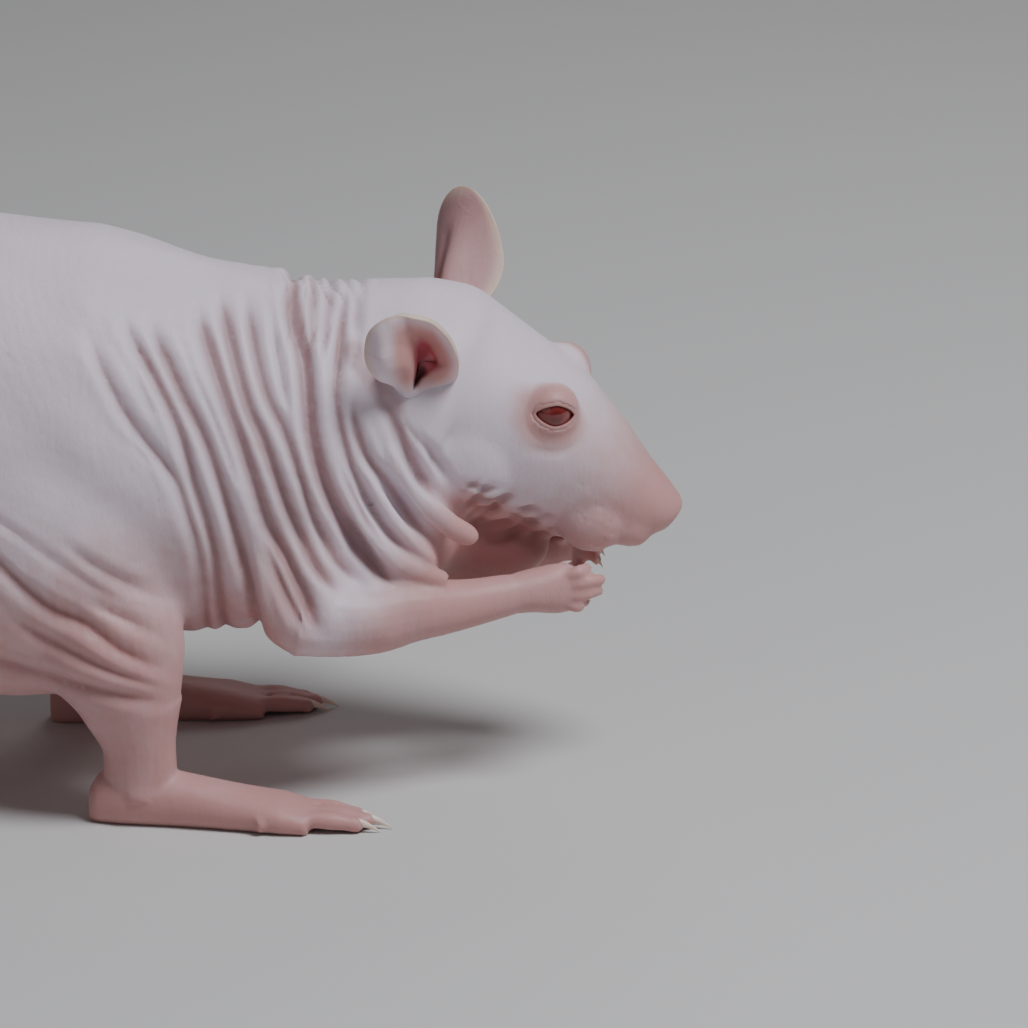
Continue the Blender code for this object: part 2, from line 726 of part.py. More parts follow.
def tail_end_block():
    # Everything behind the cut where the tail's first length starts.
    return box("zone", (0.0, -30.0, -30.0), (60.0, 30.0, 30.0), tail_frame(tail_start()))


def tail_start():
    return 6.0 + TAIL_STUB


def make_tail():
    route, lengths = tail_route()
    start = tail_start() + GAP
    end = float(lengths[-1])
    share = (end - start) / TAIL_PIECES
    for index in range(TAIL_PIECES):
        first = start + share * index
        last = first + share - (GAP if index < TAIL_PIECES - 1 else 0.0)
        tip = index == TAIL_PIECES - 1
        piece = tail_length(f"tail_{index + 1}", first, last, 10 - (index > 1), 10 - 2 * (index > 2), tip)
        flatten_sole(piece)
        piece.data.materials.append(new_material(PAW_SKIN))


def flatten_sole(item):
    # What would reach below the floor is cut off, so that it rests on a small flat.
    if min(vert.co.z for vert in item.data.vertices) < 0.0:
        cut(item, "DIFFERENCE", box("floor", (-200, -150, -20), (200, 150, 0)))
    return item


def digit(name, points, radius, claw, sides=7):
    # One toe or finger: a tapered tube with a round pad at its end, and its claw.
    stations = curve_points(points, 2)
    frames = path_frames([tuple(station) for station in stations], (0.0, 0.0, 1.0))
    count = len(stations) - 1
    sections = []
    for index, frame in enumerate(frames):
        t = index / count
        size = radius * (1.0 - 0.22 * t)
        if index == count:
            size = radius * 0.45
        sections.append((frame, size, size, 2.0))
    pieces = [loft(name, sections, sides)]
    tip = Vector(points[-1])
    forward = (tip - Vector(points[-2])).normalized()
    frame = path_frames([tip, tip + forward], (0.0, 0.0, 1.0))[0]
    sections = []
    for t in (0.0, 0.5, 1.0):
        reach = -0.9 + (claw + 0.9) * t
        drop = -0.35 * claw * t * t
        thick = radius * (0.5 - 0.38 * t)
        place = frame @ Matrix.Translation((reach, 0.0, radius * 0.28 + drop))
        sections.append((place, thick * 0.75, thick, 2.0))
    pieces.append(loft(name + "_claw", sections, 6))
    return pieces


def make_hind_foot(word, side):
    back = LEFT_LEG_BACK if side > 0 else 0.0
    turn = Matrix.Rotation(side * math.radians(FOOT_SPLAY), 4, "Z")
    frame = Matrix.Translation((HEEL[0] - back, side * HEEL[1], 0.0)) @ turn
    sections = []
    for along, half_width, top in FOOT_RINGS:
        place = frame @ Matrix.Translation((along, 0.0, top / 2 - 0.35))
        sections.append((place, half_width, top / 2 + 0.35, 2.2))
    foot = loft(f"hind_foot_{word}", sections, 16)
    pieces = []
    for start, across, length, fan in HIND_TOES:
        angle = math.radians(fan)
        points = []
        for share, height in ((0.0, 1.6), (0.35, 1.9), (0.7, 1.5), (1.0, 1.0)):
            reach = length * share
            points.append(frame @ Vector((start + reach * math.cos(angle),
                                          side * (-across) + side * reach * -math.sin(angle) * -1.0,
                                          height)))
        pieces += digit("toe", points, TOE_RADIUS, CLAW_LENGTH)
    column = [point for point in shifted(SHANK_LINE, side)[-2:]]
    column.append((column[-1][0], column[-1][1], 4.0, 4.6, 3.8))
    ankle = tube("ankle", column, (1.0, 0.0, 0.0), 16, 2, side)
    cut(ankle, "DIFFERENCE", box("zone", (-60, -60, ANKLE_HEIGHT), (80, 60, 60)))
    pieces.append(ankle)
    cut(foot, "UNION", *pieces)
    flatten_sole(foot)
    foot.data.materials.append(new_material(PAW_SKIN))


def make_foreleg(word, side, body):
    forearm = tube(f"forearm_{word}", FOREARM_LINE, (0.0, 0.0, 1.0), 16, 3, side)
    cut(forearm, "DIFFERENCE", body, keep_tools=True)
    forearm.data.materials.append(new_material(SKIN))
    paw_line = [(PALM_LINE[0][0] + GAP, *PALM_LINE[0][1:])] + PALM_LINE[1:]
    paw = tube(f"forepaw_{word}", paw_line, (0.0, 0.0, 1.0), 14, 2, side)
    pieces = []
    for height, reach in zip(FINGER_HEIGHTS, FINGER_REACH):
        middle = (height + 29.5) / 2
        points = [side_point((77.5, 8.2, middle), side), side_point((80.5, 9.0, height), side),
                  side_point((reach - 1.0, 8.0, height + 0.2), side),
                  side_point((reach, 6.0, height - 0.2), side)]
        pieces += digit("finger", points, FINGER_RADIUS, 1.2)
    thumb = [side_point((76.5, 7.2, 31.0), side), side_point((78.2, 6.4, 32.0), side),
             side_point(THUMB_TIP, side)]
    pieces += digit("thumb", thumb, 0.75, 0.7)
    cut(paw, "UNION", *pieces)
    cut(paw, "DIFFERENCE", body, keep_tools=True)
    paw.data.materials.append(new_material(PAW_SKIN))


def ear_frame(word, side):
    # X along the ear from root to tip, Y across it, Z the way its cup opens.
    root = head_place(EAR_ROOT[word], side).translation
    rise = math.radians(EAR_RISE[word])
    lean = math.radians(EAR_LEAN_BACK[word])
    axis = Vector((-math.sin(lean), side * math.cos(rise) * math.cos(lean),
                   math.sin(rise) * math.cos(lean)))
    opening = side_point(EAR_OPENING[word], side)
    opening = (opening - axis * opening.dot(axis)).normalized()
    across = opening.cross(axis)
    frame = Matrix((axis, across, opening)).transposed().to_4x4()
    frame.translation = root
    return frame


def ear_outline(share, back):
    # Share of the full half width at a share of the ear's length: a narrow root and a round end.
    # The back edge stays narrow for longer than the front edge.
    widest = 0.55 if back < 0.0 else 0.62
    rise = min(share / widest, 1.0)
    root = 0.36 + 0.64 * math.sin(math.radians(90.0 * rise)) * (1.0 if back < 0.0 else rise ** 0.5)
    end = math.sqrt(max(0.0, 1.0 - max(0.0, (share - 0.45) / 0.55) ** 2.8))
    return root * max(end, 0.12)


def ear_hollow(word, side):
    along, out, long, wide, deep = EAR_HOLLOW
    frame = ear_frame(word, side) @ Matrix.Translation((along, 0.0, out))
    return ellipsoid("hollow", frame, (long, wide, deep), 20, 14)


def make_ear(word, side, body):
    # A thin cup: its middle line runs along the axis, its two edges curve forward.
    rows, columns = 9, 8
    frame = ear_frame(word, side)
    bm = bmesh.new()
    grid = bmesh.ops.create_grid(bm, x_segments=rows, y_segments=columns, size=1.0)["verts"]
    for vert in grid:
        share = math.sin(math.radians(90.0 * (0.5 + vert.co.x / 2)))
        out = ear_outline(share, -side * vert.co.y) * math.sin(math.radians(90.0 * vert.co.y))
        out *= EAR_HALF_WIDTH[word]
        curve = EAR_CURVE[0] + (EAR_CURVE[1] - EAR_CURVE[0]) * share
        bend = EAR_TIP_BEND * share ** 2
        along = -EAR_SUNK + (EAR_LENGTH[word] + EAR_SUNK) * share
        vert.co = frame @ Vector((along, out, curve * out ** 2 - bend))
    bmesh.ops.triangulate(bm, faces=bm.faces)
    ear = new_object(f"ear_{word}", bm)
    wall = ear.modifiers.new("wall", "SOLIDIFY")
    wall.thickness = EAR_WALL
    wall.offset = 0.0
    bake(ear)
    fix_normals(ear)
    cut(ear, "DIFFERENCE", body, keep_tools=True)
    ear.data.materials.append(new_material(EAR_SKIN))


def fix_normals(item):
    bm = bmesh.new()
    bm.from_mesh(item.data)
    bmesh.ops.recalc_face_normals(bm, faces=bm.faces)
    bm.to_mesh(item.data)
    bm.free()


def make_eye(word, side):
    eye = ellipsoid(f"eye_{word}", eye_frame(side), [EYE_RADIUS] * 3, 14, 9)
    eye.data.materials.append(new_material(EYE_GLOSS))


def socket(side):
    return ellipsoid("socket", eye_frame(side), [EYE_RADIUS + GAP + 0.05] * 3, 20, 14)


def finish_in_metres():
    # Millimetres become metres, and the origin moves to the bottom centre of the whole.
    items = [item for item in bpy.data.objects if item.type == "MESH"]
    corners = []
    for item in items:
        places = mesh_places(item.data, "co")
        corners += [places.min(axis=0), places.max(axis=0)]
    low = np.min(corners, axis=0)
    high = np.max(corners, axis=0)
    centre = Vector(((low[0] + high[0]) / 2, (low[1] + high[1]) / 2, low[2]))
    matrix = Matrix.Scale(METRES_PER_MM, 4) @ Matrix.Translation(-centre)
    for item in items:
        item.data.transform(matrix)
        item.data.shade_smooth()
    print("size in mm", np.round(high - low, 1), "moved by", np.round(-np.array(centre), 2))


def main():
    clear_scene()
    body = flesh()
    clearance = grown(body, "clearance")
    for word, side in SIDES.items():
        make_foreleg(word, side, clearance)
        make_ear(word, side, clearance)
        make_hind_foot(word, side)
        make_eye(word, side)
    remove_object(clearance)
    cut(body, "DIFFERENCE", *[socket(side) for side in SIDES.values()])
    split_flesh(body)
    make_tail()
    finish_in_metres()
    total = 0
    for item in bpy.data.objects:
        count = sum(len(face.vertices) - 2 for face in item.data.polygons)
        total += count
        print(item.name, count)
    print("triangles", total)


main()
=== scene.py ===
# %% [markdown]
# # A hairless pet rat, life size
# The rat sits up on its hind legs with a round back and holds its forepaws at its mouth.
# Its skin is bare, thin and pink, and it lies in rounded folds from the nape to the elbow.
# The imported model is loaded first: every piece made below stays inside the room that its
# solids take up. All sizes are written in millimetres, and the finished pieces are brought
# to metres at the end of each step, because a rat is easier to think about in millimetres.

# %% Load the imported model
import math
from contextlib import contextmanager

import bmesh
import bpy
import numpy as np
from mathutils import Matrix, Vector
from mathutils.kdtree import KDTree


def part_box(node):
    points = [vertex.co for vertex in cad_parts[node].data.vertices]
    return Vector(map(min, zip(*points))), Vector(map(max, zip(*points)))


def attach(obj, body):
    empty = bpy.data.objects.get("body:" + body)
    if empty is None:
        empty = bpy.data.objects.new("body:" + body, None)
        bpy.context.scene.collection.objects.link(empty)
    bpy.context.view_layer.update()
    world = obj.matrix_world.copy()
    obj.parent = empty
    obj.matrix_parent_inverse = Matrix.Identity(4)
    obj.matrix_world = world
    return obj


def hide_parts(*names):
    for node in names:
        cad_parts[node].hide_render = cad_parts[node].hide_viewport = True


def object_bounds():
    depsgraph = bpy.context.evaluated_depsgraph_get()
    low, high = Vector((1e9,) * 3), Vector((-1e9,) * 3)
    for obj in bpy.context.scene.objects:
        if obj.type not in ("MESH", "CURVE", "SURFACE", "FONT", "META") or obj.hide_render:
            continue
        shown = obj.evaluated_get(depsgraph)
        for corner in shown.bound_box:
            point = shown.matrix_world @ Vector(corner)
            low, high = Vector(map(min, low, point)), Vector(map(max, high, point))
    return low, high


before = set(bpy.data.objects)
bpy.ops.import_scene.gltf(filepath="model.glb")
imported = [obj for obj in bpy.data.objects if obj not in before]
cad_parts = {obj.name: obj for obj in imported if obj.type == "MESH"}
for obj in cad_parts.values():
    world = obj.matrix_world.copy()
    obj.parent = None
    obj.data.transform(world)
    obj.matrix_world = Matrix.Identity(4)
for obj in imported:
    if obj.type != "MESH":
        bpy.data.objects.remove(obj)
cad_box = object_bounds()
print("nodes:", len(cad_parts))
print("CAD box in metres:", [[round(value, 4) for value in corner] for corner in cad_box])

# %% [markdown]
# ## Tools for making bodies
# An animal has no straight edges, so most of it is made in the same way: rings of vertices
# are placed along a line, and neighbouring rings are bridged. Such a body is called a loft.
# A ring starts as a circle and is squeezed into an oval; a power above 2 makes it squarer.

# %% Rings and lofts
MM = 0.001
SIDES = {"right": -1, "left": 1}


def add_object(name, data):
    item = bpy.data.objects.new(name, data)
    bpy.context.scene.collection.objects.link(item)
    return item


def new_object(name, bm):
    mesh = bpy.data.meshes.new(name)
    bm.to_mesh(mesh)
    bm.free()
    return add_object(name, mesh)


def at(place):
    return Matrix.Translation(place)


def rotation(degrees, axis):
    return Matrix.Rotation(math.radians(degrees), 4, axis)


def add_ring(bm, place, half_across, half_up, power, sides):
    ring = bmesh.ops.create_circle(bm, segments=sides, radius=1.0)["verts"]
    for vert in ring:
        across, up = vert.co.x, vert.co.y
        across = math.copysign(abs(across) ** (2.0 / power), across)
        up = math.copysign(abs(up) ** (2.0 / power), up)
        vert.co = place @ Vector((0.0, across * half_across, up * half_up))
    return ring


def bridge_rings(bm, rings, closed=False):
    loops = [{edge for vert in ring for edge in vert.link_edges} for ring in rings]
    if closed:
        loops.append(loops[0])
    for near, far in zip(loops, loops[1:]):
        bmesh.ops.bridge_loops(bm, edges=list(near | far))
    if not closed:
        for ending in (loops[0], loops[-1]):
            bmesh.ops.contextual_create(bm, geom=list(ending))


def add_loft(bm, sections, sides):
    # Each section: the ring's frame, half its width, half its height and its power.
    bridge_rings(bm, [add_ring(bm, *section, sides) for section in sections])


def loft(name, sections, sides=24):
    bm = bmesh.new()
    add_loft(bm, sections, sides)
    bmesh.ops.recalc_face_normals(bm, faces=bm.faces)
    return new_object(name, bm)


# %% Smooth lines, tubes and balls
def curve_points(points, steps):
    # A chain of cubic curves: one smooth line that goes through every point.
    line = [np.array(point, dtype=float) for point in points]
    line = [2 * line[0] - line[1]] + line + [2 * line[-1] - line[-2]]
    result = []
    for before, start, end, after in zip(line, line[1:], line[2:], line[3:]):
        for step in range(steps):
            t = step / steps
            result.append(0.5 * (2 * start + (end - before) * t
                                 + (2 * before - 5 * start + 4 * end - after) * t * t
                                 + (3 * start - before - 3 * end + after) * t * t * t))
    result.append(line[-2])
    return result


def path_frames(centres, upward=(0.0, 0.0, 1.0)):
    frames = []
    last = len(centres) - 1
    for index, centre in enumerate(centres):
        ahead = Vector(centres[min(index + 1, last)]) - Vector(centres[max(index - 1, 0)])
        forward = ahead.normalized()
        across = Vector(upward).cross(forward).normalized()
        place = Matrix((forward, across, forward.cross(across))).transposed().to_4x4()
        place.translation = Vector(centre)
        frames.append(place)
    return frames


def tube(name, line, upward=(0.0, 0.0, 1.0), sides=20, steps=4, side=-1):
    # Each point: X, distance out from the middle, Z, half width, and half height if it differs.
    stations = curve_points(line, steps)
    centres = [(station[0], side * station[1], station[2]) for station in stations]
    frames = path_frames(centres, upward)
    sections = [(place, station[3], station[-1], 2.0) for place, station in zip(frames, stations)]
    return loft(name, sections, sides)


def ellipsoid(name, place, radii, segments=32, rings=20):
    bm = bmesh.new()
    bmesh.ops.create_uvsphere(bm, u_segments=segments, v_segments=rings, radius=1.0)
    bmesh.ops.transform(bm, matrix=place @ Matrix.Diagonal((*radii, 1.0)), verts=bm.verts)
    return new_object(name, bm)


def side_point(point, side):
    return Vector((point[0], side * point[1], point[2]))


# %% [markdown]
# ## Tools for joining bodies
# A skin has no seams. Overlapping bodies are joined by a Boolean, wrapped in one even mesh by
# the Remesh modifier, and their meetings are softened by the Smooth modifier. The coarser the
# mesh, the wider each round of smoothing reaches, so wide blends are made first on a coarse
# mesh, and toes and fingers join later on a fine one.

# %% Bake, cut, even out
def modify(item, kind, **settings):
    modifier = item.modifiers.new(kind.lower(), kind)
    for name, value in settings.items():
        setattr(modifier, name, value)


def bake(item):
    depsgraph = bpy.context.evaluated_depsgraph_get()
    depsgraph.update()
    mesh = bpy.data.meshes.new_from_object(item.evaluated_get(depsgraph))
    item.modifiers.clear()
    item.data = mesh


def cut(item, operation, tools):
    gathered = bpy.data.collections.new("tools")
    bpy.context.scene.collection.children.link(gathered)
    for tool in tools:
        gathered.objects.link(tool)
    modify(item, "BOOLEAN", operation=operation, operand_type="COLLECTION",
           collection=gathered, solver="EXACT")
    bake(item)
    for tool in tools:
        bpy.data.objects.remove(tool, do_unlink=True)
    bpy.data.collections.remove(gathered)


@contextmanager
def edited(item):
    bm = bmesh.new()
    bm.from_mesh(item.data)
    yield bm
    bm.to_mesh(item.data)
    bm.free()


def join(item, others):
    # The others' faces are added to the item's mesh as they are.
    with edited(item) as bm:
        for other in others:
            bm.from_mesh(other.data)
            bpy.data.objects.remove(other, do_unlink=True)


def even_out(item, voxel, rounds):
    modify(item, "REMESH", mode="VOXEL", voxel_size=voxel)
    modify(item, "SMOOTH", factor=0.5, iterations=rounds)
    bake(item)
    print(item.name, "evened out:", len(item.data.polygons), "faces")


def vertex_values(mesh, what):
    values = np.zeros(len(mesh.vertices) * 3)
    if what == "co":
        mesh.vertices.foreach_get("co", values)
    else:
        mesh.vertex_normals.foreach_get("vector", values)
    return values.reshape(-1, 3)


def set_places(mesh, places):
    mesh.vertices.foreach_set("co", places.ravel())
    mesh.update()


# %% [markdown]
# ## The trunk and the limbs
# The back of a sitting rat is one high arch, widest over the hips. Ten oval rings give it, and
# each thigh is a large flattened egg on its side. Shank and upper arm are short tubes. All of
# them are blended together, because on the real animal no limb starts at a line.

# %% Sizes of the trunk and limbs
# Voxel in millimetres and rounds of smoothing, for each time the skin is made one even mesh
EVEN_TRUNK = (0.9, 14)
EVEN_HEAD = (0.5, 8)
EVEN_PAWS = (0.36, 3)
TRUNK_POWER = 2.15
# Rings of the trunk: X, Z, half width, half height, lean in degrees
TRUNK_RINGS = [
    (-53.0, 40.5, 5.6, 6.2, 0.0),
    (-49.0, 43.5, 10.5, 12.0, 0.0),
    (-41.0, 46.5, 17.5, 20.0, 0.0),
    (-26.0, 49.5, 24.5, 26.5, 0.0),
    (-6.0, 51.5, 27.0, 29.5, 0.0),
    (14.0, 50.5, 26.5, 28.5, 0.0),
    (30.0, 48.0, 24.0, 26.0, 0.0),
    (44.0, 47.0, 21.0, 24.2, 4.0),
    (55.0, 51.0, 17.0, 21.0, 12.0),
    (63.0, 53.5, 13.5, 16.5, 22.0),
]
# Masses in front of the trunk: the chest, the throat under the jaw and the loose skin beside it
CHEST_SWELLS = [
    ((56.5, 0.0, 38.5), (11.5, 11.5, 11.0)),
    ((66.5, 0.0, 33.2), (11.0, 4.4, 6.0)),
    ((55.5, -8.5, 41.5), (8.0, 6.0, 9.5)),
    ((55.5, 8.5, 41.5), (8.0, 6.0, 9.5)),
    ((53.0, -10.5, 35.5), (9.0, 7.0, 7.5)),
    ((53.0, 10.5, 35.5), (9.0, 7.0, 7.5)),
]
LEFT_LEG_BACK = 9.0
THIGH_CENTRE = (3.5, 16.5, 40.5)
THIGH_RADII = (25.0, 12.0, 23.5)
SHANK_LINE = [
    (12.0, 17.0, 38.0, 6.0, 8.0),
    (15.0, 19.5, 31.0, 7.6, 10.5),
    (17.6, 20.8, 24.0, 7.6, 10.0),
    (19.4, 21.0, 17.0, 5.6, 7.2),
    (20.3, 20.8, 11.5, 4.4, 5.2),
    (20.4, 20.4, 7.0, 4.2, 5.0),
]
UPPER_ARM_LINE = [
    (35.0, 10.0, 50.0, 7.0, 8.0),
    (37.0, 12.0, 44.0, 9.0, 10.5),
    (40.0, 14.5, 37.0, 8.0, 9.8),
    (43.0, 16.8, 31.5, 6.8, 8.0),
    (45.0, 17.6, 29.3, 5.6, 6.4),
]
ELBOW = (42.6, 18.6, 29.3)
ELBOW_RADII = (5.4, 5.5, 5.6)
FOREARM_LINE = [
    (42.0, 18.8, 29.3, 5.6, 5.6),
    (50.0, 17.6, 28.4, 5.0, 5.2),
    (58.0, 14.8, 28.6, 4.1, 4.5),
    (65.0, 12.0, 28.6, 3.3, 3.5),
    (71.5, 9.6, 29.2, 2.7, 2.9),
]

# %% Trunk, thighs, shanks and arms
def leg_back(side):
    return LEFT_LEG_BACK if side > 0 else 0.0


def leg_line(line, side):
    return [(point[0] - leg_back(side), *point[1:]) for point in line]


def trunk():
    sections = []
    for x, z, half_width, half_height, lean in TRUNK_RINGS:
        sections.append((at((x, 0.0, z)) @ rotation(lean, "Y"), half_width, half_height, TRUNK_POWER))
    return loft("skin", sections, 40)


def limbs():
    pieces = [ellipsoid("chest", at(centre), radii) for centre, radii in CHEST_SWELLS]
    for side in SIDES.values():
        centre = side_point(THIGH_CENTRE, side) - Vector((leg_back(side), 0.0, 0.0))
        pieces.append(ellipsoid("thigh", at(centre), THIGH_RADII))
        pieces.append(tube("shank", leg_line(SHANK_LINE, side), (1.0, 0.0, 0.0), 20, 3, side))
        pieces.append(tube("upper_arm", UPPER_ARM_LINE, (1.0, 0.0, 0.0), 20, 3, side))
        pieces.append(tube("forearm", FOREARM_LINE, side=side))
        pieces.append(ellipsoid("elbow", at(side_point(ELBOW, side)), ELBOW_RADII))
    return pieces


# %% [markdown]
# ## The tail's route
# A rat's tail leaves the rump as a thick round cord, hangs down and then lies along the floor.
# Its middle line is written as a few points for the drop and a wide turn for the rest, and its
# radius shrinks evenly to the tip. The same route later carries the fine rings of scales.

# %% Tail route and tail body
TAIL_DROP = [(-46.0, 0.0, 43.5), (-54.0, 0.0, 40.0), (-62.0, 0.3, 33.0), (-69.0, 1.0, 24.5),
             (-76.0, 2.2, 15.5), (-84.0, 4.2, 8.3), (-93.0, 7.0, 4.4), (-102.0, 11.0, 3.0)]
TAIL_FLOOR_TURN = 52.0
TAIL_LENGTH = 172.0
TAIL_RADII = (4.8, 0.9)
TAIL_TAPER = 0.85
TAIL_FLAT = 0.15
TAIL_STEP = 3.0


def tail_route():
    route = [tuple(point) for point in curve_points(TAIL_DROP, 6)]
    length = sum(math.dist(near, far) for near, far in zip(route, route[1:]))
    heading = math.atan2(route[-1][1] - route[-2][1], route[-1][0] - route[-2][0])
    while length < TAIL_LENGTH:
        x, y = route[-1][:2]
        heading -= TAIL_STEP / TAIL_FLOOR_TURN
        route.append((x + TAIL_STEP * math.cos(heading), y + TAIL_STEP * math.sin(heading), 0.0))
        length += TAIL_STEP
    steps = [math.dist(near, far) for near, far in zip(route, route[1:])]
    return np.array(route), np.concatenate([[0.0], np.cumsum(steps)])


ROUTE, ROUTE_LENGTHS = tail_route()


def tail_place(station):
    place = [float(np.interp(station, ROUTE_LENGTHS, ROUTE[:, axis])) for axis in range(3)]
    share = max(station / ROUTE_LENGTHS[-1], 0.0)
    radius = TAIL_RADII[0] + (TAIL_RADII[1] - TAIL_RADII[0]) * share ** TAIL_TAPER
    place[2] = max(radius - TAIL_FLAT, place[2])
    return Vector(place), radius


def tail(start, end, rings, round_end):
    sections = []
    for station in np.linspace(start, end, rings):
        place = path_frames([tail_place(station - 1.5)[0], tail_place(station + 1.5)[0]])[0]
        place.translation, radius = tail_place(station)
        sections.append((place, radius, radius, 2.0))
    if round_end:
        for reach, size in ((0.5, 0.87), (0.87, 0.5), (1.0, 0.15)):
            tip = sections[rings - 1][0] @ at((reach * TAIL_RADII[1], 0.0, 0.0))
            sections.append((tip, size * TAIL_RADII[1], size * TAIL_RADII[1], 2.0))
    return loft("tail", sections, 24)


print("tail length in mm:", round(float(ROUTE_LENGTHS[-1]), 1))

skin = trunk()
cut(skin, "UNION", [*limbs(), tail(0.0, 14.0, 6, False)])
even_out(skin, *EVEN_TRUNK)

# %% [markdown]
# ## The head
# The head is a long wedge, pitched down to the paws and turned a little. Its rings are placed
# by their distance behind the nose tip, with the height of their top and bottom edge. The jaw
# is a second, smaller wedge under it, and rounded swells give the whisker pads, the cheeks and
# the brows. A function turns a place on the head into a frame, so that a left and a right
# feature share one line of numbers.

# %% Skull, jaw, swells
NOSE_TIP = Vector((95.3, 0.0, 38.1))
HEAD_PITCH = 39.0
HEAD_TURN = -3.0
HEAD_LEAN = 7.0
# Rings of skull and jaw: distance behind the nose tip, top, bottom, half width, power
SKULL_RINGS = [
    (0.2, 0.9, -3.4, 2.4, 2.1),
    (1.4, 1.7, -5.2, 3.9, 2.1),
    (4.0, 2.3, -8.0, 5.5, 2.2),
    (8.0, 3.1, -10.6, 6.8, 2.3),
    (14.0, 4.9, -13.0, 8.7, 2.3),
    (21.0, 6.4, -17.0, 11.0, 2.4),
    (28.0, 6.5, -20.0, 13.0, 2.4),
    (35.0, 6.3, -21.8, 14.4, 2.3),
    (42.0, 6.2, -23.0, 14.8, 2.2),
    (49.0, 2.6, -25.0, 13.4, 2.1),
]
JAW_RINGS = [
    (6.0, -9.2, -11.2, 1.9, 2.0),
    (8.5, -8.6, -12.3, 3.5, 2.0),
    (13.0, -8.5, -14.6, 5.9, 2.1),
    (20.0, -8.5, -18.6, 9.0, 2.2),
    (28.0, -9.5, -21.5, 11.5, 2.2),
]
# Whisker pads, cheeks and brows: distance behind the nose, out and up, then three radii
HEAD_SWELLS = [
    (5.8, 3.2, -5.1, 4.4, 3.2, 3.5),
    (10.0, 5.0, -7.2, 5.2, 3.5, 4.8),
    (31.0, 8.0, -10.0, 10.0, 6.8, 9.0),
    (24.7, 6.2, 1.6, 4.8, 3.8, 3.8),
]


def head_place(place, side=1):
    behind, out, up = place
    return (at(NOSE_TIP) @ rotation(HEAD_TURN, "Z") @ rotation(HEAD_PITCH, "Y")
            @ rotation(HEAD_LEAN, "X") @ at((-behind, side * out, up)))


def head_loft(name, rings, sides):
    sections = []
    for behind, top, bottom, half_width, power in rings:
        place = head_place((behind, 0.0, (top + bottom) / 2))
        sections.append((place, half_width, (top - bottom) / 2, power))
    return loft(name, sections, sides)


def head_pieces():
    pieces = [head_loft("skull", SKULL_RINGS, 48), head_loft("jaw", JAW_RINGS, 32)]
    for behind, out, up, long, wide, high in HEAD_SWELLS:
        for side in SIDES.values():
            pieces.append(ellipsoid("swell", head_place((behind, out, up), side), (long, wide, high)))
    return pieces


# %% [markdown]
# ## Lids, nostrils and mouth
# Eyelids are a thin ball of skin over the eyeball with an almond cut out of it. The almond is
# a squarish ring with a power below 2, which gives pointed corners. A nostril is a small slanted
# hollow, and the mouth is a thin slot that curves down and back from under the nose.

# %% Carve the face
EYE_RADIUS = 3.25
EYE_PLACE = (24.7, 7.4, 2.9)
# How far the line of sight is turned outwards and raised, in degrees
EYE_LOOK = (74.0, -16.0)
LID_THICKNESS = 0.8
LID_OPENING = (5.4, 3.0)
LID_CLEARANCE = 0.9
LID_SLANT = -28.0
NOSTRIL_PLACE = (1.1, 1.25, -0.9)
NOSTRIL_RADII = (1.3, 0.5, 0.8)
NOSTRIL_TURN = 38.0
# Behind the nose tip: where the lips' line starts and ends, its height and how far it drops
MOUTH_FRONT = 2.0
MOUTH_BACK = 14.5
LIP_LEVEL = -6.7
LIP_DROP = 5.0
MOUTH_HEIGHT = 0.8


def eye_frame(side):
    return head_place(EYE_PLACE, side) @ rotation(side * EYE_LOOK[0], "Z") @ rotation(EYE_LOOK[1], "Y")


def lid_frame(side):
    return eye_frame(side) @ rotation(side * LID_SLANT, "X")


def lid_cutter(side):
    half_width, half_height = [(size + LID_CLEARANCE) / 2 for size in LID_OPENING]
    ends = [lid_frame(side) @ at((ahead, 0.0, 0.0)) for ahead in (EYE_RADIUS * 0.45, EYE_RADIUS + 4.0)]
    return loft("lid_cutter", [(place, half_width, half_height, 1.8) for place in ends], 32)


def nostril_cutter(side):
    place = head_place(NOSTRIL_PLACE, side) @ rotation(side * NOSTRIL_TURN, "Z")
    return ellipsoid("nostril", place, NOSTRIL_RADII, 16, 12)


def ease(share):
    # Rises steeply from 0 and flattens out at 1.
    return math.sin(math.radians(90.0 * share))


def lip_line(share):
    # How far behind the nose tip the line between the lips is, and how far up.
    return MOUTH_FRONT + (MOUTH_BACK - MOUTH_FRONT) * share, LIP_LEVEL - LIP_DROP * ease(share)


def mouth_cutter():
    bm = bmesh.new()
    bmesh.ops.create_cube(bm, size=1.0)
    lengthways = [edge for edge in bm.edges if abs(edge.verts[0].co.x - edge.verts[1].co.x) > 0.5]
    bmesh.ops.subdivide_edges(bm, edges=lengthways, cuts=12, use_grid_fill=True)
    for vert in bm.verts:
        share = vert.co.x + 0.5
        behind, up = lip_line(share)
        half = MOUTH_HEIGHT / 2 * (1.0 - 0.6 * share)
        vert.co = head_place((behind, 24.0 * vert.co.y, up + 2 * half * vert.co.z)).translation
    bmesh.ops.recalc_face_normals(bm, faces=bm.faces)
    return new_object("mouth", bm)


# %% [markdown]
# ## Where the ears stand
# An ear is a thin cup of skin. The far one stands up behind the head on a frame with X along
# the ear from root to tip, Y across it and Z the way the cup opens, and its canal is a hollow
# carved into the skull. The near one is laid back and looks straight at the camera, so its
# places are written as they are seen, and a function turns them into places in space.

# %% Ear frames and canals
SIGHT_DOWN = math.radians(18.0)
CAMERA_DISTANCE = 700.0
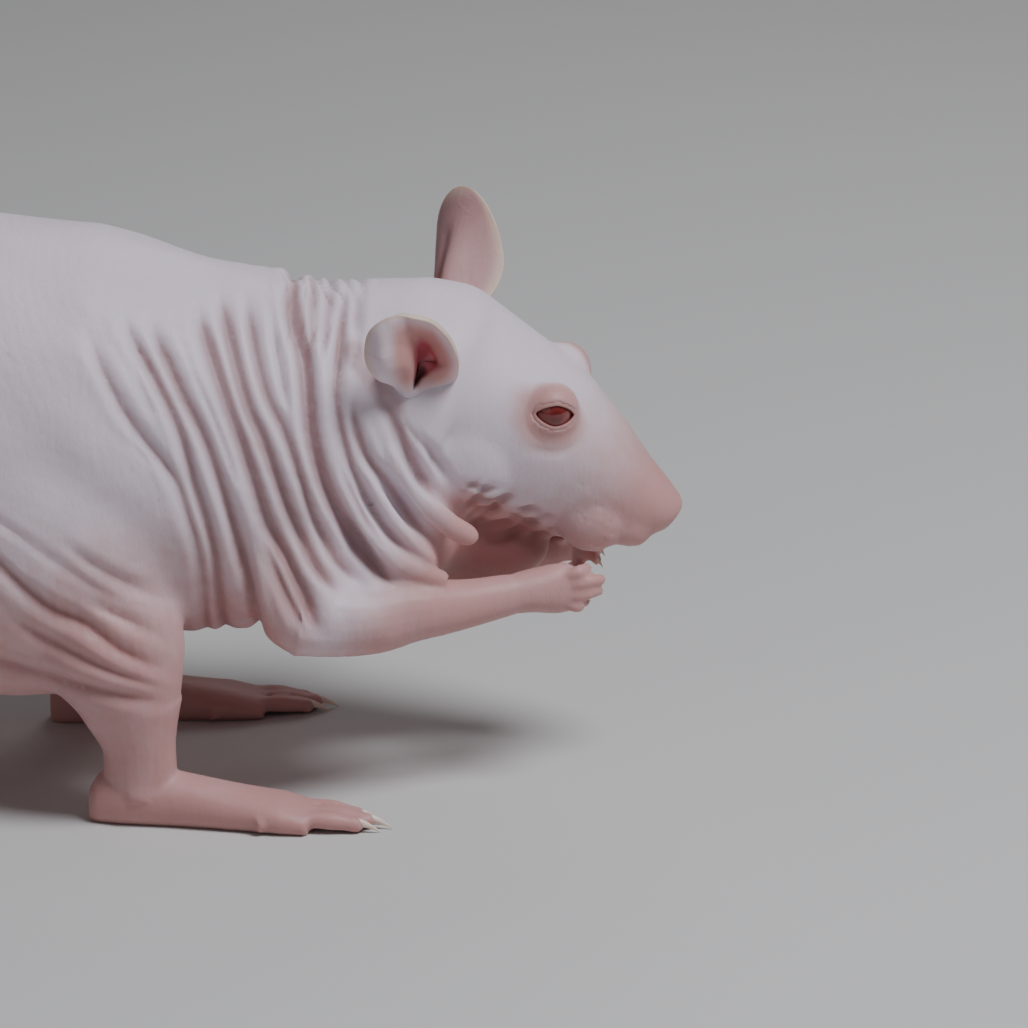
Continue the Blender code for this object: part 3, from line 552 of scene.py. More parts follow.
# The place that the camera looks at: X, height and depth as seen
LOOK_AT = (71.96, 35.95, 11.7)
EAR_ROOT = (43.2, 11.0, -3.0)
EAR_LENGTH = 19.0
EAR_HALF_WIDTH = 7.0
EAR_CURVE = (0.17, 0.03)
EAR_TIP_BEND = 0.8
EAR_SUNK = 4.0
EAR_HOLLOW = (2.4, 1.9, 4.2, 2.2, 2.3)
EAR_RISE = math.radians(48.0)
EAR_LEAN = math.radians(-10.0)
EAR_OPENING = Vector((0.80, 0.55, -0.35))


def ear_frame():
    axis = Vector((-math.sin(EAR_LEAN), math.cos(EAR_RISE) * math.cos(EAR_LEAN),
                   math.sin(EAR_RISE) * math.cos(EAR_LEAN)))
    opening = (EAR_OPENING - axis * EAR_OPENING.dot(axis)).normalized()
    place = Matrix((axis, opening.cross(axis), opening)).transposed().to_4x4()
    place.translation = head_place(EAR_ROOT).translation
    return place


def seen_place(along, height, depth):
    # A place given as the camera sees it; what lies nearer to the camera looks larger.
    cos, sin = math.cos(SIGHT_DOWN), math.sin(SIGHT_DOWN)
    shrink = 1.0 - (depth - LOOK_AT[2]) / CAMERA_DISTANCE
    along = LOOK_AT[0] + (along - LOOK_AT[0]) * shrink
    height = LOOK_AT[1] + (height - LOOK_AT[1]) * shrink
    return Vector((along, height * sin - depth * cos, height * cos + depth * sin))


def ear_hollow():
    along, out, long, wide, deep = EAR_HOLLOW
    return ellipsoid("hollow", ear_frame() @ at((along, 0.0, out)), (long, wide, deep), 20, 14)


# %% [markdown]
# ## Join the head to the trunk
# After the union, the brow and the side of the jaw still show where their bodies met. A vertex
# group can limit the Smooth modifier to such a place, with a weight that fades at its border.
# The hollows are carved last, so that the smoothing doesn't fill them.

# %% Soften in places, then carve
# Where the side of the jaw meets the neck, and the rounds of smoothing there and on the brow
JAW_MEETING = (63.5, 0.0, 45.0)
JAW_ROUNDS = 40
BROW_ROUNDS = 70


def smooth_step(value, low, high):
    # 0 at low and 1 at high; with the larger number first it falls as the value grows.
    t = np.clip((value - low) / (high - low), 0.0, 1.0)
    return t * t * (3.0 - 2.0 * t)


def window(value, start, full, fade, end):
    return smooth_step(value, start, full) * smooth_step(value, end, fade)


def head_places(places):
    # The same places as distance behind the nose, out to the left, and up.
    turned = np.array(head_place((0.0, 0.0, 0.0)).inverted())
    local = places @ turned[:3, :3].T + turned[:3, 3]
    return -local[:, 0], local[:, 1], local[:, 2]


def soften(item, share, rounds):
    # Smooths the places where the share is 1 and leaves the rest as it is.
    places = vertex_values(item.data, "co")
    item.vertex_groups.clear()
    group = item.vertex_groups.new(name="soft")
    for index, weight in enumerate(share(places)):
        if weight > 0.01:
            group.add([index], float(weight), "REPLACE")
    modify(item, "SMOOTH", vertex_group="soft", factor=0.5, iterations=rounds)
    bake(item)


def jaw_side_share(places):
    gap = np.linalg.norm((places * (1.0, 0.0, 1.0)) - JAW_MEETING, axis=1)
    return smooth_step(gap, 8.0, 4.0) * smooth_step(np.abs(places[:, 1]), 6.0, 9.0)


def brow_share(places):
    behind, out, up = head_places(places)
    return window(behind, 27.0, 33.0, 54.0, 62.0) * smooth_step(up, -7.0, -1.0)


lids = []
carvings = [mouth_cutter()]
for side in SIDES.values():
    lids.append(ellipsoid("lids", eye_frame(side), [EYE_RADIUS + LID_THICKNESS] * 3, 28, 18))
    carvings += [nostril_cutter(side), lid_cutter(side)]
carvings.append(ear_hollow())
cut(skin, "UNION", head_pieces() + lids)
even_out(skin, *EVEN_HEAD)
soften(skin, brow_share, BROW_ROUNDS)
soften(skin, jaw_side_share, JAW_ROUNDS)
cut(skin, "DIFFERENCE", carvings)

# %% [markdown]
# ## Rolls that hang free
# Below the jaw, rolls of neck skin end in the open with round tips. They are tubes that lie
# half sunk in the flank and come out of it towards their ends. The even mesh then joins them
# to the skin under them with a soft seam.

# %% Neck rolls
# Points: X, distance out from the middle, Z, radius
NECK_ROLLS = [
    [(52.5, 15.8, 56.1, 0.9), (55.0, 16.0, 51.7, 1.4), (57.7, 14.9, 47.4, 1.6),
     (60.5, 13.6, 43.3, 1.6), (63.0, 12.8, 40.5, 1.6), (64.8, 12.2, 39.1, 1.6),
     (65.8, 11.9, 38.5, 1.45), (66.5, 11.7, 38.1, 1.0), (66.8, 11.6, 37.9, 0.6)],
    [(50.7, 17.2, 52.1, 0.9), (52.2, 16.9, 48.1, 1.3), (54.6, 15.9, 43.5, 1.5),
     (57.1, 15.2, 39.7, 1.5), (58.9, 14.6, 37.3, 1.4), (60.2, 14.1, 35.8, 1.2),
     (60.8, 13.9, 35.1, 0.7)],
    [(48.3, 17.9, 50.1, 1.0), (50.4, 16.9, 44.6, 1.7), (53.2, 16.2, 39.8, 1.9),
     (56.0, 15.9, 36.7, 1.9), (59.5, 14.8, 34.1, 1.6), (62.5, 13.8, 32.6, 1.2)],
]
# The stems of the ears, short and hidden: the near one behind its cup, the far one in its root
EAR_STEMS = {
    "right": [(54.8, 9.3, 61.6, 2.8), (55.2, 13.2, 62.9, 2.0), (55.4, 16.6, 64.1, 1.4)],
    "left": [(58.6, 10.4, 62.6, 3.6), (59.2, 12.2, 65.4, 2.4), (59.9, 13.8, 67.6, 1.2)],
}
rolls = [tube("roll", line, side=side) for side in SIDES.values() for line in NECK_ROLLS]
rolls += [tube("ear_stem", EAR_STEMS[word], side=side) for word, side in SIDES.items()]
print("rolls and stems:", len(rolls))

# %% [markdown]
# ## Forepaws and hind feet
# A rat's forepaw is a small pink hand with four slim fingers and a stub of a thumb. Its hind
# foot is a long flat sole with five toes. Each digit is a tapered tube with a swelling at each
# joint and a round pad at its end. The claws are separate pieces, because they are horn.

# %% Sizes of the paws and feet
PALM_LINE = [
    (71.8, 9.5, 29.2, 2.6, 2.8),
    (74.5, 8.6, 29.4, 3.0, 3.1),
    (78.0, 7.9, 29.5, 2.6, 3.6),
    (80.4, 7.5, 29.5, 1.8, 3.2),
]
PALM_HEIGHT = 29.5
FINGER_HEIGHTS = (32.1, 30.5, 28.8, 27.2)
FINGER_REACH = (82.4, 84.3, 84.0, 82.2)
FINGER_RADIUS = 0.95
THUMB_LINE = [(76.5, 7.2, 31.0), (78.2, 6.4, 32.0), (79.5, 5.4, 32.4)]
THUMB_RADIUS = 0.75
HEEL = (14.2, 19.6)
FOOT_SPLAY = 6.5
# Rings of the sole: distance from the heel, half width, height of the top
FOOT_RINGS = [
    (-0.9, 1.6, 4.6),
    (0.4, 3.0, 6.6),
    (4.0, 3.9, 8.0),
    (11.0, 3.8, 7.2),
    (20.0, 4.3, 5.4),
    (26.0, 5.0, 4.4),
    (30.0, 4.6, 3.2),
]
# Toes: start from the heel, place across the foot, length, fan in degrees
HIND_TOES = [
    (23.0, -4.0, 8.0, -16.0),
    (28.0, -2.7, 9.6, -6.0),
    (28.6, 0.0, 10.4, 0.0),
    (28.0, 2.7, 9.6, 6.0),
    (22.0, 4.1, 7.0, 18.0),
]
TOE_RADIUS = 1.35
# Share of the toe's length, and the height of its middle line there
TOE_HEIGHTS = ((0.0, 1.6), (0.35, 1.9), (0.7, 1.5), (1.0, 1.0))
CLAW_LENGTHS = {"toe": 2.4, "finger": 1.2, "thumb": 0.7}

# %% Digits, palms and soles
def digit_lines(kind, side):
    # Every digit of one paw: its line of points, its radius and its claw's length.
    lines = []
    if kind == "fore":
        for height, reach in zip(FINGER_HEIGHTS, FINGER_REACH):
            points = [(77.5, 8.2, (height + PALM_HEIGHT) / 2), (80.5, 9.0, height),
                      (reach - 1.0, 8.0, height + 0.2), (reach, 6.0, height - 0.2)]
            lines.append(([side_point(point, side) for point in points],
                          FINGER_RADIUS, CLAW_LENGTHS["finger"]))
        points = [side_point(point, side) for point in THUMB_LINE]
        lines.append((points, THUMB_RADIUS, CLAW_LENGTHS["thumb"]))
        return lines
    place = foot_frame(side)
    for start, across, length, fan in HIND_TOES:
        angle = math.radians(fan)
        points = []
        for share, height in TOE_HEIGHTS:
            reach = length * share
            along = start + reach * math.cos(angle)
            sideways = side * (reach * math.sin(angle) - across)
            points.append(place @ Vector((along, sideways, height)))
        lines.append((points, TOE_RADIUS, CLAW_LENGTHS["toe"]))
    return lines


def foot_frame(side):
    heel = (HEEL[0] - leg_back(side), side * HEEL[1], 0.0)
    return at(heel) @ rotation(side * FOOT_SPLAY, "Z")


def digit(points, radius):
    stations = curve_points(points, 5)
    frames = path_frames([tuple(station) for station in stations])
    last = len(frames) - 1
    sections = []
    for index, place in enumerate(frames):
        t = index / last
        size = radius * (1.0 - 0.2 * t + 0.06 * math.cos(math.radians(720.0 * t)))
        size *= math.sqrt(max(0.1, 1.0 - max(0.0, (t - 0.86) / 0.14) ** 2))
        sections.append((place, size, size, 2.0))
    return loft("digit", sections, 14)


def sole(side):
    sections = []
    for along, half_width, top in FOOT_RINGS:
        place = foot_frame(side) @ at((along, 0.0, top / 2 - 0.35))
        sections.append((place, half_width, top / 2 + 0.35, 2.2))
    return loft("sole", sections, 28)


def ankle(side):
    column = leg_line(SHANK_LINE, side)[-3:]
    column.append((column[-1][0], column[-1][1], 4.0, 4.4, 3.6))
    return tube("ankle", column, (1.0, 0.0, 0.0), 20, 4, side)


extremities = [tail(6.0, float(ROUTE_LENGTHS[-1]), 90, True), *rolls]
for side in SIDES.values():
    extremities += [tube("forearm", FOREARM_LINE, side=side), tube("palm", PALM_LINE, side=side)]
    extremities += [sole(side), ankle(side)]
    for kind in ("fore", "hind"):
        extremities += [digit(points, radius) for points, radius, claw in digit_lines(kind, side)]
join(skin, extremities)
even_out(skin, *EVEN_PAWS)

# %% [markdown]
# ## Folds of bare skin
# The loose skin hangs in rounded folds that run from the back down to the elbow, with narrow
# valleys between them. Each valley is one line on the flank: its places are given as the
# distance along the body and the height as seen from 18 degrees above. Every vertex asks how
# far it is from each line, and sinks by a smooth profile: deep in the middle, and with a low
# ridge beside it, where the skin that was pushed away piles up.

# %% Fold lines
# Depth, half width, then the line's points: distance along X and height
FOLDS = [
    (0.5, 0.8, (16.7, 49.1), (19.7, 46.3), (22.4, 43.5), (24.0, 40.0)),
    (0.8, 0.9, (14.0, 62.0), (18.5, 51.9), (22.0, 46.3), (26.3, 40.7), (28.2, 35.1), (29.5, 29.5),
     (29.8, 23.9), (29.0, 17.0)),
    (0.4, 0.7, (19.5, 60.0), (22.5, 51.9), (25.2, 46.5)),
    (1.1, 0.9, (18.5, 64.0), (24.9, 51.9), (27.3, 46.3), (28.7, 40.7), (30.4, 35.1), (31.5, 29.5),
     (31.7, 23.9), (31.9, 17.0)),
    (1.2, 0.9, (22.0, 64.0), (27.4, 51.9), (30.2, 46.3), (32.2, 40.7), (33.9, 35.1), (35.2, 29.5),
     (36.2, 23.9), (37.0, 17.0)),
    (0.5, 0.7, (27.5, 57.0), (30.2, 51.9), (31.5, 49.1), (33.8, 43.0), (35.2, 38.0)),
    (1.4, 1.1, (28.5, 66.0), (33.0, 51.9), (35.0, 46.3), (36.8, 40.7), (38.6, 35.1), (41.3, 29.5),
     (43.8, 23.9), (45.6, 18.0)),
    (1.0, 0.8, (38.0, 35.0), (38.6, 31.0), (40.2, 26.7), (42.4, 22.0), (44.0, 18.0)),
    (1.4, 1.0, (31.5, 68.0), (35.6, 51.9), (37.9, 46.3), (39.9, 40.7), (42.0, 35.1), (44.7, 29.5),
     (47.0, 26.0), (49.0, 23.6)),
    (1.1, 0.9, (35.0, 68.0), (37.1, 57.5), (38.6, 51.9), (41.2, 46.3), (43.1, 40.7), (44.9, 35.1),
     (48.0, 29.5), (51.5, 24.7)),
    (0.6, 0.7, (38.8, 66.0), (39.5, 60.3), (40.5, 54.7), (41.6, 48.0)),
    (1.8, 1.0, (41.3, 71.0), (41.9, 63.1), (43.5, 57.5), (44.1, 51.9), (44.7, 46.3), (46.1, 40.7),
     (48.7, 35.1), (52.4, 29.5), (56.5, 24.9)),
    (0.7, 0.8, (44.2, 72.0), (44.3, 64.0), (44.6, 56.0)),
    (0.6, 0.8, (46.8, 72.0), (46.4, 64.0), (46.2, 56.0)),
    (0.7, 0.7, (47.4, 45.0), (49.1, 40.7), (50.4, 37.9), (51.8, 35.1), (54.6, 30.5)),
    (1.0, 0.75, (48.9, 69.0), (48.4, 62.0), (48.0, 54.7), (47.9, 51.9), (48.9, 46.3), (50.6, 40.7),
     (53.6, 35.1), (57.2, 30.8), (60.6, 28.0)),
    (0.7, 0.8, (50.9, 70.0), (50.4, 63.1), (50.6, 58.0)),
    (1.1, 0.8, (50.0, 54.5), (50.4, 48.6), (51.8, 44.1), (54.3, 40.7), (58.0, 35.3), (61.8, 31.2)),
    (1.3, 0.9, (53.2, 55.0), (55.6, 49.1), (57.0, 45.6), (59.3, 40.7), (61.6, 37.3), (63.4, 36.2)),
    (0.7, 0.8, (55.5, 53.0), (57.5, 48.0), (60.4, 44.4), (62.9, 40.5), (64.4, 38.6)),
    (0.5, 0.7, (47.6, 59.6), (48.6, 58.8), (50.4, 62.6)),
]
# The rump's folds lie further apart and are shallower
RUMP_FOLDS = [
    (0.55, 1.2, (-45.5, 62.0), (-47.0, 50.0), (-47.5, 38.0), (-45.0, 26.0)),
    (0.6, 1.2, (-40.5, 66.0), (-42.5, 52.0), (-43.0, 38.0), (-39.5, 24.0)),
    (0.5, 1.3, (-34.5, 70.0), (-37.5, 56.0), (-38.5, 42.0), (-34.0, 22.0)),
    (0.5, 1.4, (-27.5, 72.0), (-31.5, 58.0), (-33.0, 42.0), (-28.0, 21.0)),
    (0.35, 1.4, (-19.5, 70.0), (-25.0, 54.0), (-27.0, 38.0)),
]
# Creases across the thigh and over the knee, with points from the rump side to the knee
KNEE_CREASES = [
    (0.9, 1.1, (-6.0, 35.0), (0.0, 31.6), (8.4, 23.9), (14.0, 20.9), (19.6, 16.9), (27.3, 13.9)),
    (0.7, 0.9, (2.8, 22.3), (8.4, 19.0), (16.8, 14.8), (26.6, 11.3)),
    (0.8, 1.0, (-6.0, 18.0), (2.8, 15.5), (11.2, 13.0), (18.2, 11.3), (26.6, 10.0)),
    (0.6, 0.9, (10.0, 32.5), (16.8, 28.1), (22.0, 25.5), (26.5, 23.5)),
    (0.6, 0.9, (12.6, 24.6), (18.2, 22.3), (27.0, 18.3)),
    (0.35, 0.8, (-8.0, 40.0), (0.0, 36.5), (8.0, 31.0), (16.0, 25.6), (22.0, 21.4)),
]

# %% How a fold shapes the skin
# How much of the valley's depth the ridge beside it rises, and the fade at the two ends in mm
RIDGE_SHARE = 0.22
FADE_LOW = 5.0
FADE_HIGH = 8.0


def fold_profile(distance, half_width):
    valley = np.exp(-(distance / half_width) ** 1.5)
    ridge = np.exp(-((distance - 2.0 * half_width) / half_width) ** 2)
    return valley, ridge


def fold_line(along, height, points, by_height):
    # The distance from the line, and how much of the fold is left near its two ends.
    if not by_height:
        along, height = height, along
        points = [(point[1], point[0]) for point in points]
    fine = np.array(curve_points(points, 8))
    fine = fine[np.argsort(fine[:, 1])]
    middle = np.interp(height, fine[:, 1], fine[:, 0])
    spread = fine[:, 1] + 1e-6 * np.arange(len(fine))
    slope = np.interp(height, fine[:, 1], np.gradient(fine[:, 0], spread))
    distance = np.abs(along - middle) / np.sqrt(1.0 + slope ** 2)
    low, high = fine[0, 1], fine[-1, 1]
    fade = np.minimum((height - low) / FADE_LOW, (high - height) / FADE_HIGH)
    return distance, smooth_step(fade, 0.0, 1.0)


def seen_height(places):
    return places[:, 2] * math.cos(SIGHT_DOWN) - np.abs(places[:, 1]) * math.sin(SIGHT_DOWN)


def fold_field(places):
    # The valleys' depth and the ridges' height at every place, in millimetres.
    along, height = places[:, 0], seen_height(places)
    back = np.where(places[:, 1] > 0.0, LEFT_LEG_BACK, 0.0)
    outer = np.clip((np.abs(places[:, 1]) - 15.0) / 4.0, 0.0, 1.0)
    sunk = np.zeros(len(places))
    risen = np.zeros(len(places))
    rows = [(fold, along, True, 1.0) for fold in FOLDS + RUMP_FOLDS]
    rows += [(fold, along + back, False, outer) for fold in KNEE_CREASES]
    for (depth, half_width, *points), run, by_height, mask in rows:
        distance, fade = fold_line(run, height, points, by_height)
        valley, ridge = fold_profile(distance, half_width)
        sunk = np.maximum(sunk, depth * fade * mask * valley)
        risen = np.maximum(risen, RIDGE_SHARE * depth * fade * mask * ridge)
    return sunk, risen


# %% [markdown]
# ## Small wrinkles
# Between the folds the skin is never flat: short fine wrinkles cross the nape and the flanks,
# and the jaw is lumpy. All of it comes from sums of sine waves whose phases are bent by other
# waves, which gives lines that wander, split and stop, and is the same on every run.

# %% Wandering wrinkles
def wave(places, direction, length, phase=0.0):
    direction = np.array(direction, dtype=float)
    direction /= np.linalg.norm(direction)
    return np.sin(places @ direction * (2.0 * math.pi / length) + phase)


def cloud(places, size, seed):
    # A soft field between -1 and 1, with features of about the given size.
    total = np.zeros(len(places))
    for index in range(5):
        angle = seed * 1.7 + index * 2.4
        direction = (math.cos(angle), math.sin(angle) * 0.8, math.cos(angle * 1.3 + seed))
        bend = 1.4 * wave(places, direction[::-1], size * 2.3, angle)
        total += wave(places, direction, size * (1.0 + 0.17 * index), seed + index + bend)
    return total / 3.2


def wrinkles(places, direction, length, seed):
    bend = 2.2 * cloud(places, length * 6.0, seed) + 0.9 * cloud(places, length * 2.5, seed + 3.0)
    line = wave(places, direction, length, bend)
    patches = np.clip(0.5 + 0.9 * cloud(places, length * 5.0, seed + 7.0), 0.0, 1.0)
    return (1.0 - np.abs(line)) ** 2.0 * patches


# %% Face and skin fields
# Round creases about the eye: distance from its middle, half width, depth
EYE_CREASES = [(5.4, 0.7, 0.24), (4.2, 0.4, 0.14)]
# A small swelling on each cheek: behind the nose, out and up; then its radius and its height
CHEEK_SWELL = (37.0, 15.0, -12.0)
CHEEK_SWELL_SIZE = (0.9, 0.25)
# Region, depth, direction across the wrinkles, distance between them, seed
WRINKLES = [
    ("trunk", 0.05, (1.0, 0.0, 0.25), 3.2, 1.0),
    ("trunk", 0.04, (0.45, 0.3, 1.0), 4.1, 2.0),
    ("nape", 0.32, (1.0, 0.2, -0.4), 3.0, 4.0),
]


def eye_distance(places, side):
    turned = np.array(eye_frame(side).inverted())
    local = places @ turned[:3, :3].T + turned[:3, 3]
    return np.hypot(local[:, 1], local[:, 2]), local[:, 0], np.arctan2(local[:, 2], local[:, 1])


def face_field(places):
    # Creases round the eyes, a swelling on each cheek, the groove under the nose; whisker pads.
    behind, out, up = head_places(places)
    lift = np.zeros(len(places))
    for side in SIDES.values():
        reach, ahead, angle = eye_distance(places, side)
        facing = smooth_step(ahead, 0.0, 1.5)
        arcs = np.clip(0.25 + np.cos(2.0 * (angle - 0.9 * side)), 0.0, 1.0)
        for (middle, half_width, depth), part in zip(EYE_CREASES, (arcs, 1.0 - 0.6 * arcs)):
            lift -= depth * np.exp(-((reach - middle) / half_width) ** 2) * facing * part
        across = np.hypot(out - side * CHEEK_SWELL[1], up - CHEEK_SWELL[2])
        gap = np.hypot(behind - CHEEK_SWELL[0], across)
        lift += CHEEK_SWELL_SIZE[1] * np.exp(-(gap / CHEEK_SWELL_SIZE[0]) ** 2)
    groove = np.exp(-(out / 0.5) ** 2) * smooth_step(up, -1.6, -2.6) * smooth_step(up, -7.4, -6.0)
    lift -= 0.55 * groove * smooth_step(behind, 4.0, 2.5)
    pad = window(behind, 1.5, 6.0, 11.0, 21.0)
    pad *= window(up, -14.0, -9.0, -4.0, 0.5) * smooth_step(np.abs(out), 1.0, 3.0)
    return lift, pad


def skin_field(places):
    sunk, risen = fold_field(places)
    face, pad = face_field(places)
    behind, out, up = head_places(places)
    along, height = places[:, 0], seen_height(places)
    trunk_share = window(along, -48.0, -38.0, 56.0, 66.0) * smooth_step(height, 12.0, 20.0)
    nape = window(along, 34.0, 45.0, 53.0, 63.0) * smooth_step(height, 50.0, 60.0)
    jaw = smooth_step(behind, 11.0, 15.0) * smooth_step(up, -8.0, -11.0) * smooth_step(along, 63.5, 67.5)
    jaw *= smooth_step(places[:, 2], 33.5, 36.5)
    # The jaw's lumps stop short of the end of the longest roll.
    roll_end = np.abs(places) - NECK_ROLLS[0][-3][:3]
    jaw *= smooth_step(np.linalg.norm(roll_end, axis=1), 2.6, 4.4)
    regions = {"trunk": trunk_share, "nape": nape}
    fine = np.zeros(len(places))
    for region, depth, direction, length, seed in WRINKLES:
        fine += depth * regions[region] * wrinkles(places, direction, length, seed)
    lumps = cloud(places, 2.6, 5.0)
    fine += jaw * (0.14 + 0.5 * np.clip(0.25 - lumps, 0.0, 1.0))
    lift = face - sunk + risen - fine
    lift += 0.07 * pad * cloud(places, 2.2, 9.0)
    lift += 0.22 * trunk_share * cloud(places, 11.0, 12.0) + 0.30 * jaw * lumps
    return lift, sunk, fine, pad


places = vertex_values(skin.data, "co")
normals = vertex_values(skin.data, "normal")
lift = skin_field(places)[0]
set_places(skin.data, places + normals * lift[:, None])
print("deepest fold in mm:", round(float(-lift.min()), 2))

# %% [markdown]
# ## Lighten the mesh and keep the sole flat
# The even mesh has far more faces than a smooth thigh needs. The Decimate modifier removes
# those that carry the least shape. Then what would reach below the floor is laid on it.

# %% Lighten the skin
SKIN_TRIANGLES = 192000


def triangles(item):
    return sum(len(face.vertices) - 2 for face in item.data.polygons)


def lighten(item, wanted):
    before = triangles(item)
    if before > wanted:
        modify(item, "DECIMATE", ratio=wanted / before)
        bake(item)
    print(item.name, "triangles:", before, "->", triangles(item))


def keep_largest(item):
    with edited(item) as bm:
        remaining = set(bm.verts)
        groups = []
        while remaining:
            stack = [remaining.pop()]
            group = list(stack)
            while stack:
                near = {vert for edge in stack.pop().link_edges for vert in edge.verts} & remaining
                remaining -= near
                group += near
                stack += near
            groups.append(group)
        groups.sort(key=len)
        loose = [vert for group in groups[:-1] for vert in group]
        bmesh.ops.delete(bm, geom=loose, context="VERTS")
    print(item.name, "closed surfaces:", len(groups))


lighten(skin, SKIN_TRIANGLES)
keep_largest(skin)
places = vertex_values(skin.data, "co")
places[:, 2] = np.maximum(places[:, 2], 0.0)
set_places(skin.data, places)

# %% [markdown]
# ## Values that follow the surface
# Bare skin shows the blood under it: the muzzle, the paws and the tail are redder than the brow
# and the back. The bottoms of the folds, the recess of the throat and the neck under the near ear
# get painted shade of dark red, and the lower body is painted pinker and darker, partly as shade.
# These shares are worked out once for every vertex and kept on the mesh as attributes, so the
# material can read them. Another attribute holds the distance along the tail, for its rings of scales.

# %% Attributes of the skin
FAR_EAR_ROOT = (59.6, 13.5, 68.5)
# Where the throat lies in the jaw's shade and is painted dark red: its middle and radii
THROAT_SHADE = (66.0, 0.0, 34.5)
THROAT_SHADE_RADII = (12.0, 8.0, 7.0)
# Painted shadow that the near ear casts behind it, and a small grey spot on the cheek: both ends as seen,
# reach, core, strength
SHADOW_AND_SPOT_MARKS = [
    ((50.2, 58.0), (55.5, 50.5), 3.0, 0.8, 0.85),
    ((68.2, 48.0), (68.5, 46.2), 1.0, 0.3, 0.32),
]


def add_values(item, **values):
    for name, value in values.items():
        item.data.attributes.new(name, "FLOAT", "POINT")
        item.data.attributes[name].data.foreach_set("value", value.astype(np.float32))
        print(item.name, name, "from", round(float(value.min()), 2), "to", round(float(value.max()), 2))


def tail_station(places):
    # The distance along the tail's route of the nearest point on it, and 0 in front of the tail.
    stations = np.linspace(0.0, float(ROUTE_LENGTHS[-1]), 700)
    line = np.array([tail_place(station)[0][:] for station in stations])
    result = np.zeros(len(places))
    near = (places[:, 0] < -46.0)
    chosen = places[near]
    best = np.empty(len(chosen))
    for start in range(0, len(chosen), 4000):
        part = chosen[start:start + 4000]
        gaps = ((part[:, None, :] - line[None, :, :]) ** 2).sum(axis=2)
        best[start:start + 4000] = stations[gaps.argmin(axis=1)]
    result[near] = best
    return result


def flush_and_shade_share(places):
    # How much blood shows through: muzzle, jaw, paws, belly, legs, tail, far ear's root and lids.
    # Towards the bottom of the body the pink is partly painted shade.
    x, y, z = places.T
    behind, out, up = head_places(places)
    # Pinker and darker towards the bottom: partly blood, partly painted shade under the light from above
    low = smooth_step(seen_height(places), 46.0, 14.0) * (1.0 - 0.6 * smooth_step(x, 38.0, 48.0))
    ear_root = np.linalg.norm(places - FAR_EAR_ROOT, axis=1)
    shares = [
        0.95 * smooth_step(behind, 31.0, 3.0) * smooth_step(x, 60.0, 70.0),
        0.95 * smooth_step(up, -8.0, -14.0) * smooth_step(behind, 36.0, 22.0),
        0.95 * smooth_step(x, 62.0, 73.0) * smooth_step(z, 36.0, 32.0),
        0.85 * low,
        1.0 * smooth_step(z, 10.0, 4.0),
        0.8 * smooth_step(x, -46.0, -60.0),
        0.9 * smooth_step(ear_root, 6.5, 3.0),
    ]
    for side in SIDES.values():
        reach, ahead, angle = eye_distance(places, side)
        shares.append(0.85 * smooth_step(reach, 8.5, 3.0) * smooth_step(ahead, -1.0, 1.5))
    return np.max(shares, axis=0)


def near_line(places, start, end):
    # The distance from a line on the near side, seen as the camera sees it.
    seen = np.stack([places[:, 0], seen_height(places)], axis=1)
    start, way = np.array(start), np.array(end) - np.array(start)
    t = np.clip((seen - start) @ way / (way @ way), 0.0, 1.0)
    return np.hypot(*(seen - start - t[:, None] * way).T)


def shade_and_spot_share(places, sunk, fine):
    # Where the skin is painted dark red: shade in the folds, the wrinkles and the recess of the throat,
    # the near ear's shadow behind it, and a small grey spot on the cheek.
    # Painted shade: the hollows of the folds and fine wrinkles, and the jaw's dips among its lumps, go dark
    # red
    folds = np.clip(sunk / 0.9, 0.0, 1.0) + 0.8 * np.clip(fine / 0.35, 0.0, 1.0)
    # Painted shade in the throat's recess under the jaw
    throat_shade_reach = np.linalg.norm((places - THROAT_SHADE) / THROAT_SHADE_RADII, axis=1)
    side = smooth_step(np.abs(places[:, 1]), 6.0, 9.0)
    shares = [folds, 1.2 * smooth_step(throat_shade_reach, 1.15, 0.85)]
    # Painted shadow of the near ear on the neck, and the cheek's grey spot
    for start, end, reach, core, strength in SHADOW_AND_SPOT_MARKS:
        shares.append(strength * side * smooth_step(near_line(places, start, end), reach, core))
    return np.max(shares, axis=0)


places = vertex_values(skin.data, "co")
lift, sunk, fine, pad = skin_field(places)
add_values(skin, valley=shade_and_spot_share(places, sunk, fine), flush=flush_and_shade_share(places), pad=pad,
           tail=tail_station(places))

# %% [markdown]
# ## Bring the pieces to the model's place
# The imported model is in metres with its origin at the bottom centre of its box. The eye is a
# ball, so its box's centre is its own centre, and the difference to the eye's place above is
# the way from here to there.

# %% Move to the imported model
eye_low, eye_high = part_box("eye_right")
eye_centre = (Vector(eye_low) + Vector(eye_high)) / 2
shift = eye_centre / MM - eye_frame(SIDES["right"]).translation
TO_MODEL = Matrix.Scale(MM, 4) @ at(shift)
print("shift in mm:", [round(value, 2) for value in shift])


def finish_piece(piece, slot, *nodes):
    piece.data.transform(TO_MODEL)
    places = vertex_values(piece.data, "co")
    set_places(piece.data, np.clip(places, cad_box[0], cad_box[1]))
    piece.data.shade_smooth()
    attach(piece, "root")
    if nodes:
        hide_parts(*nodes)
    return piece


FLESH_NODES = ["head", "neck", "torso", "rump"]
for part in ("thigh", "shank", "hind_foot", "upper_arm", "forearm", "forepaw"):
    FLESH_NODES += [f"{part}_right", f"{part}_left"]
FLESH_NODES += [f"tail_{index}" for index in (1, 2, 3, 4)]
finish_piece(skin, "skin", *FLESH_NODES)

# %% [markdown]
# ## The ears
# Both ears are grids bent into a cup. The far ear's rows follow its outline from the root to the
# round end. The near ear is seen straight into its opening, so it is written as sections
# that run from the bottom of the canal, over the ridge of the pit, out to the rim. The
# Solidify modifier gives each a wall. Five values keep the colours' places for the material.

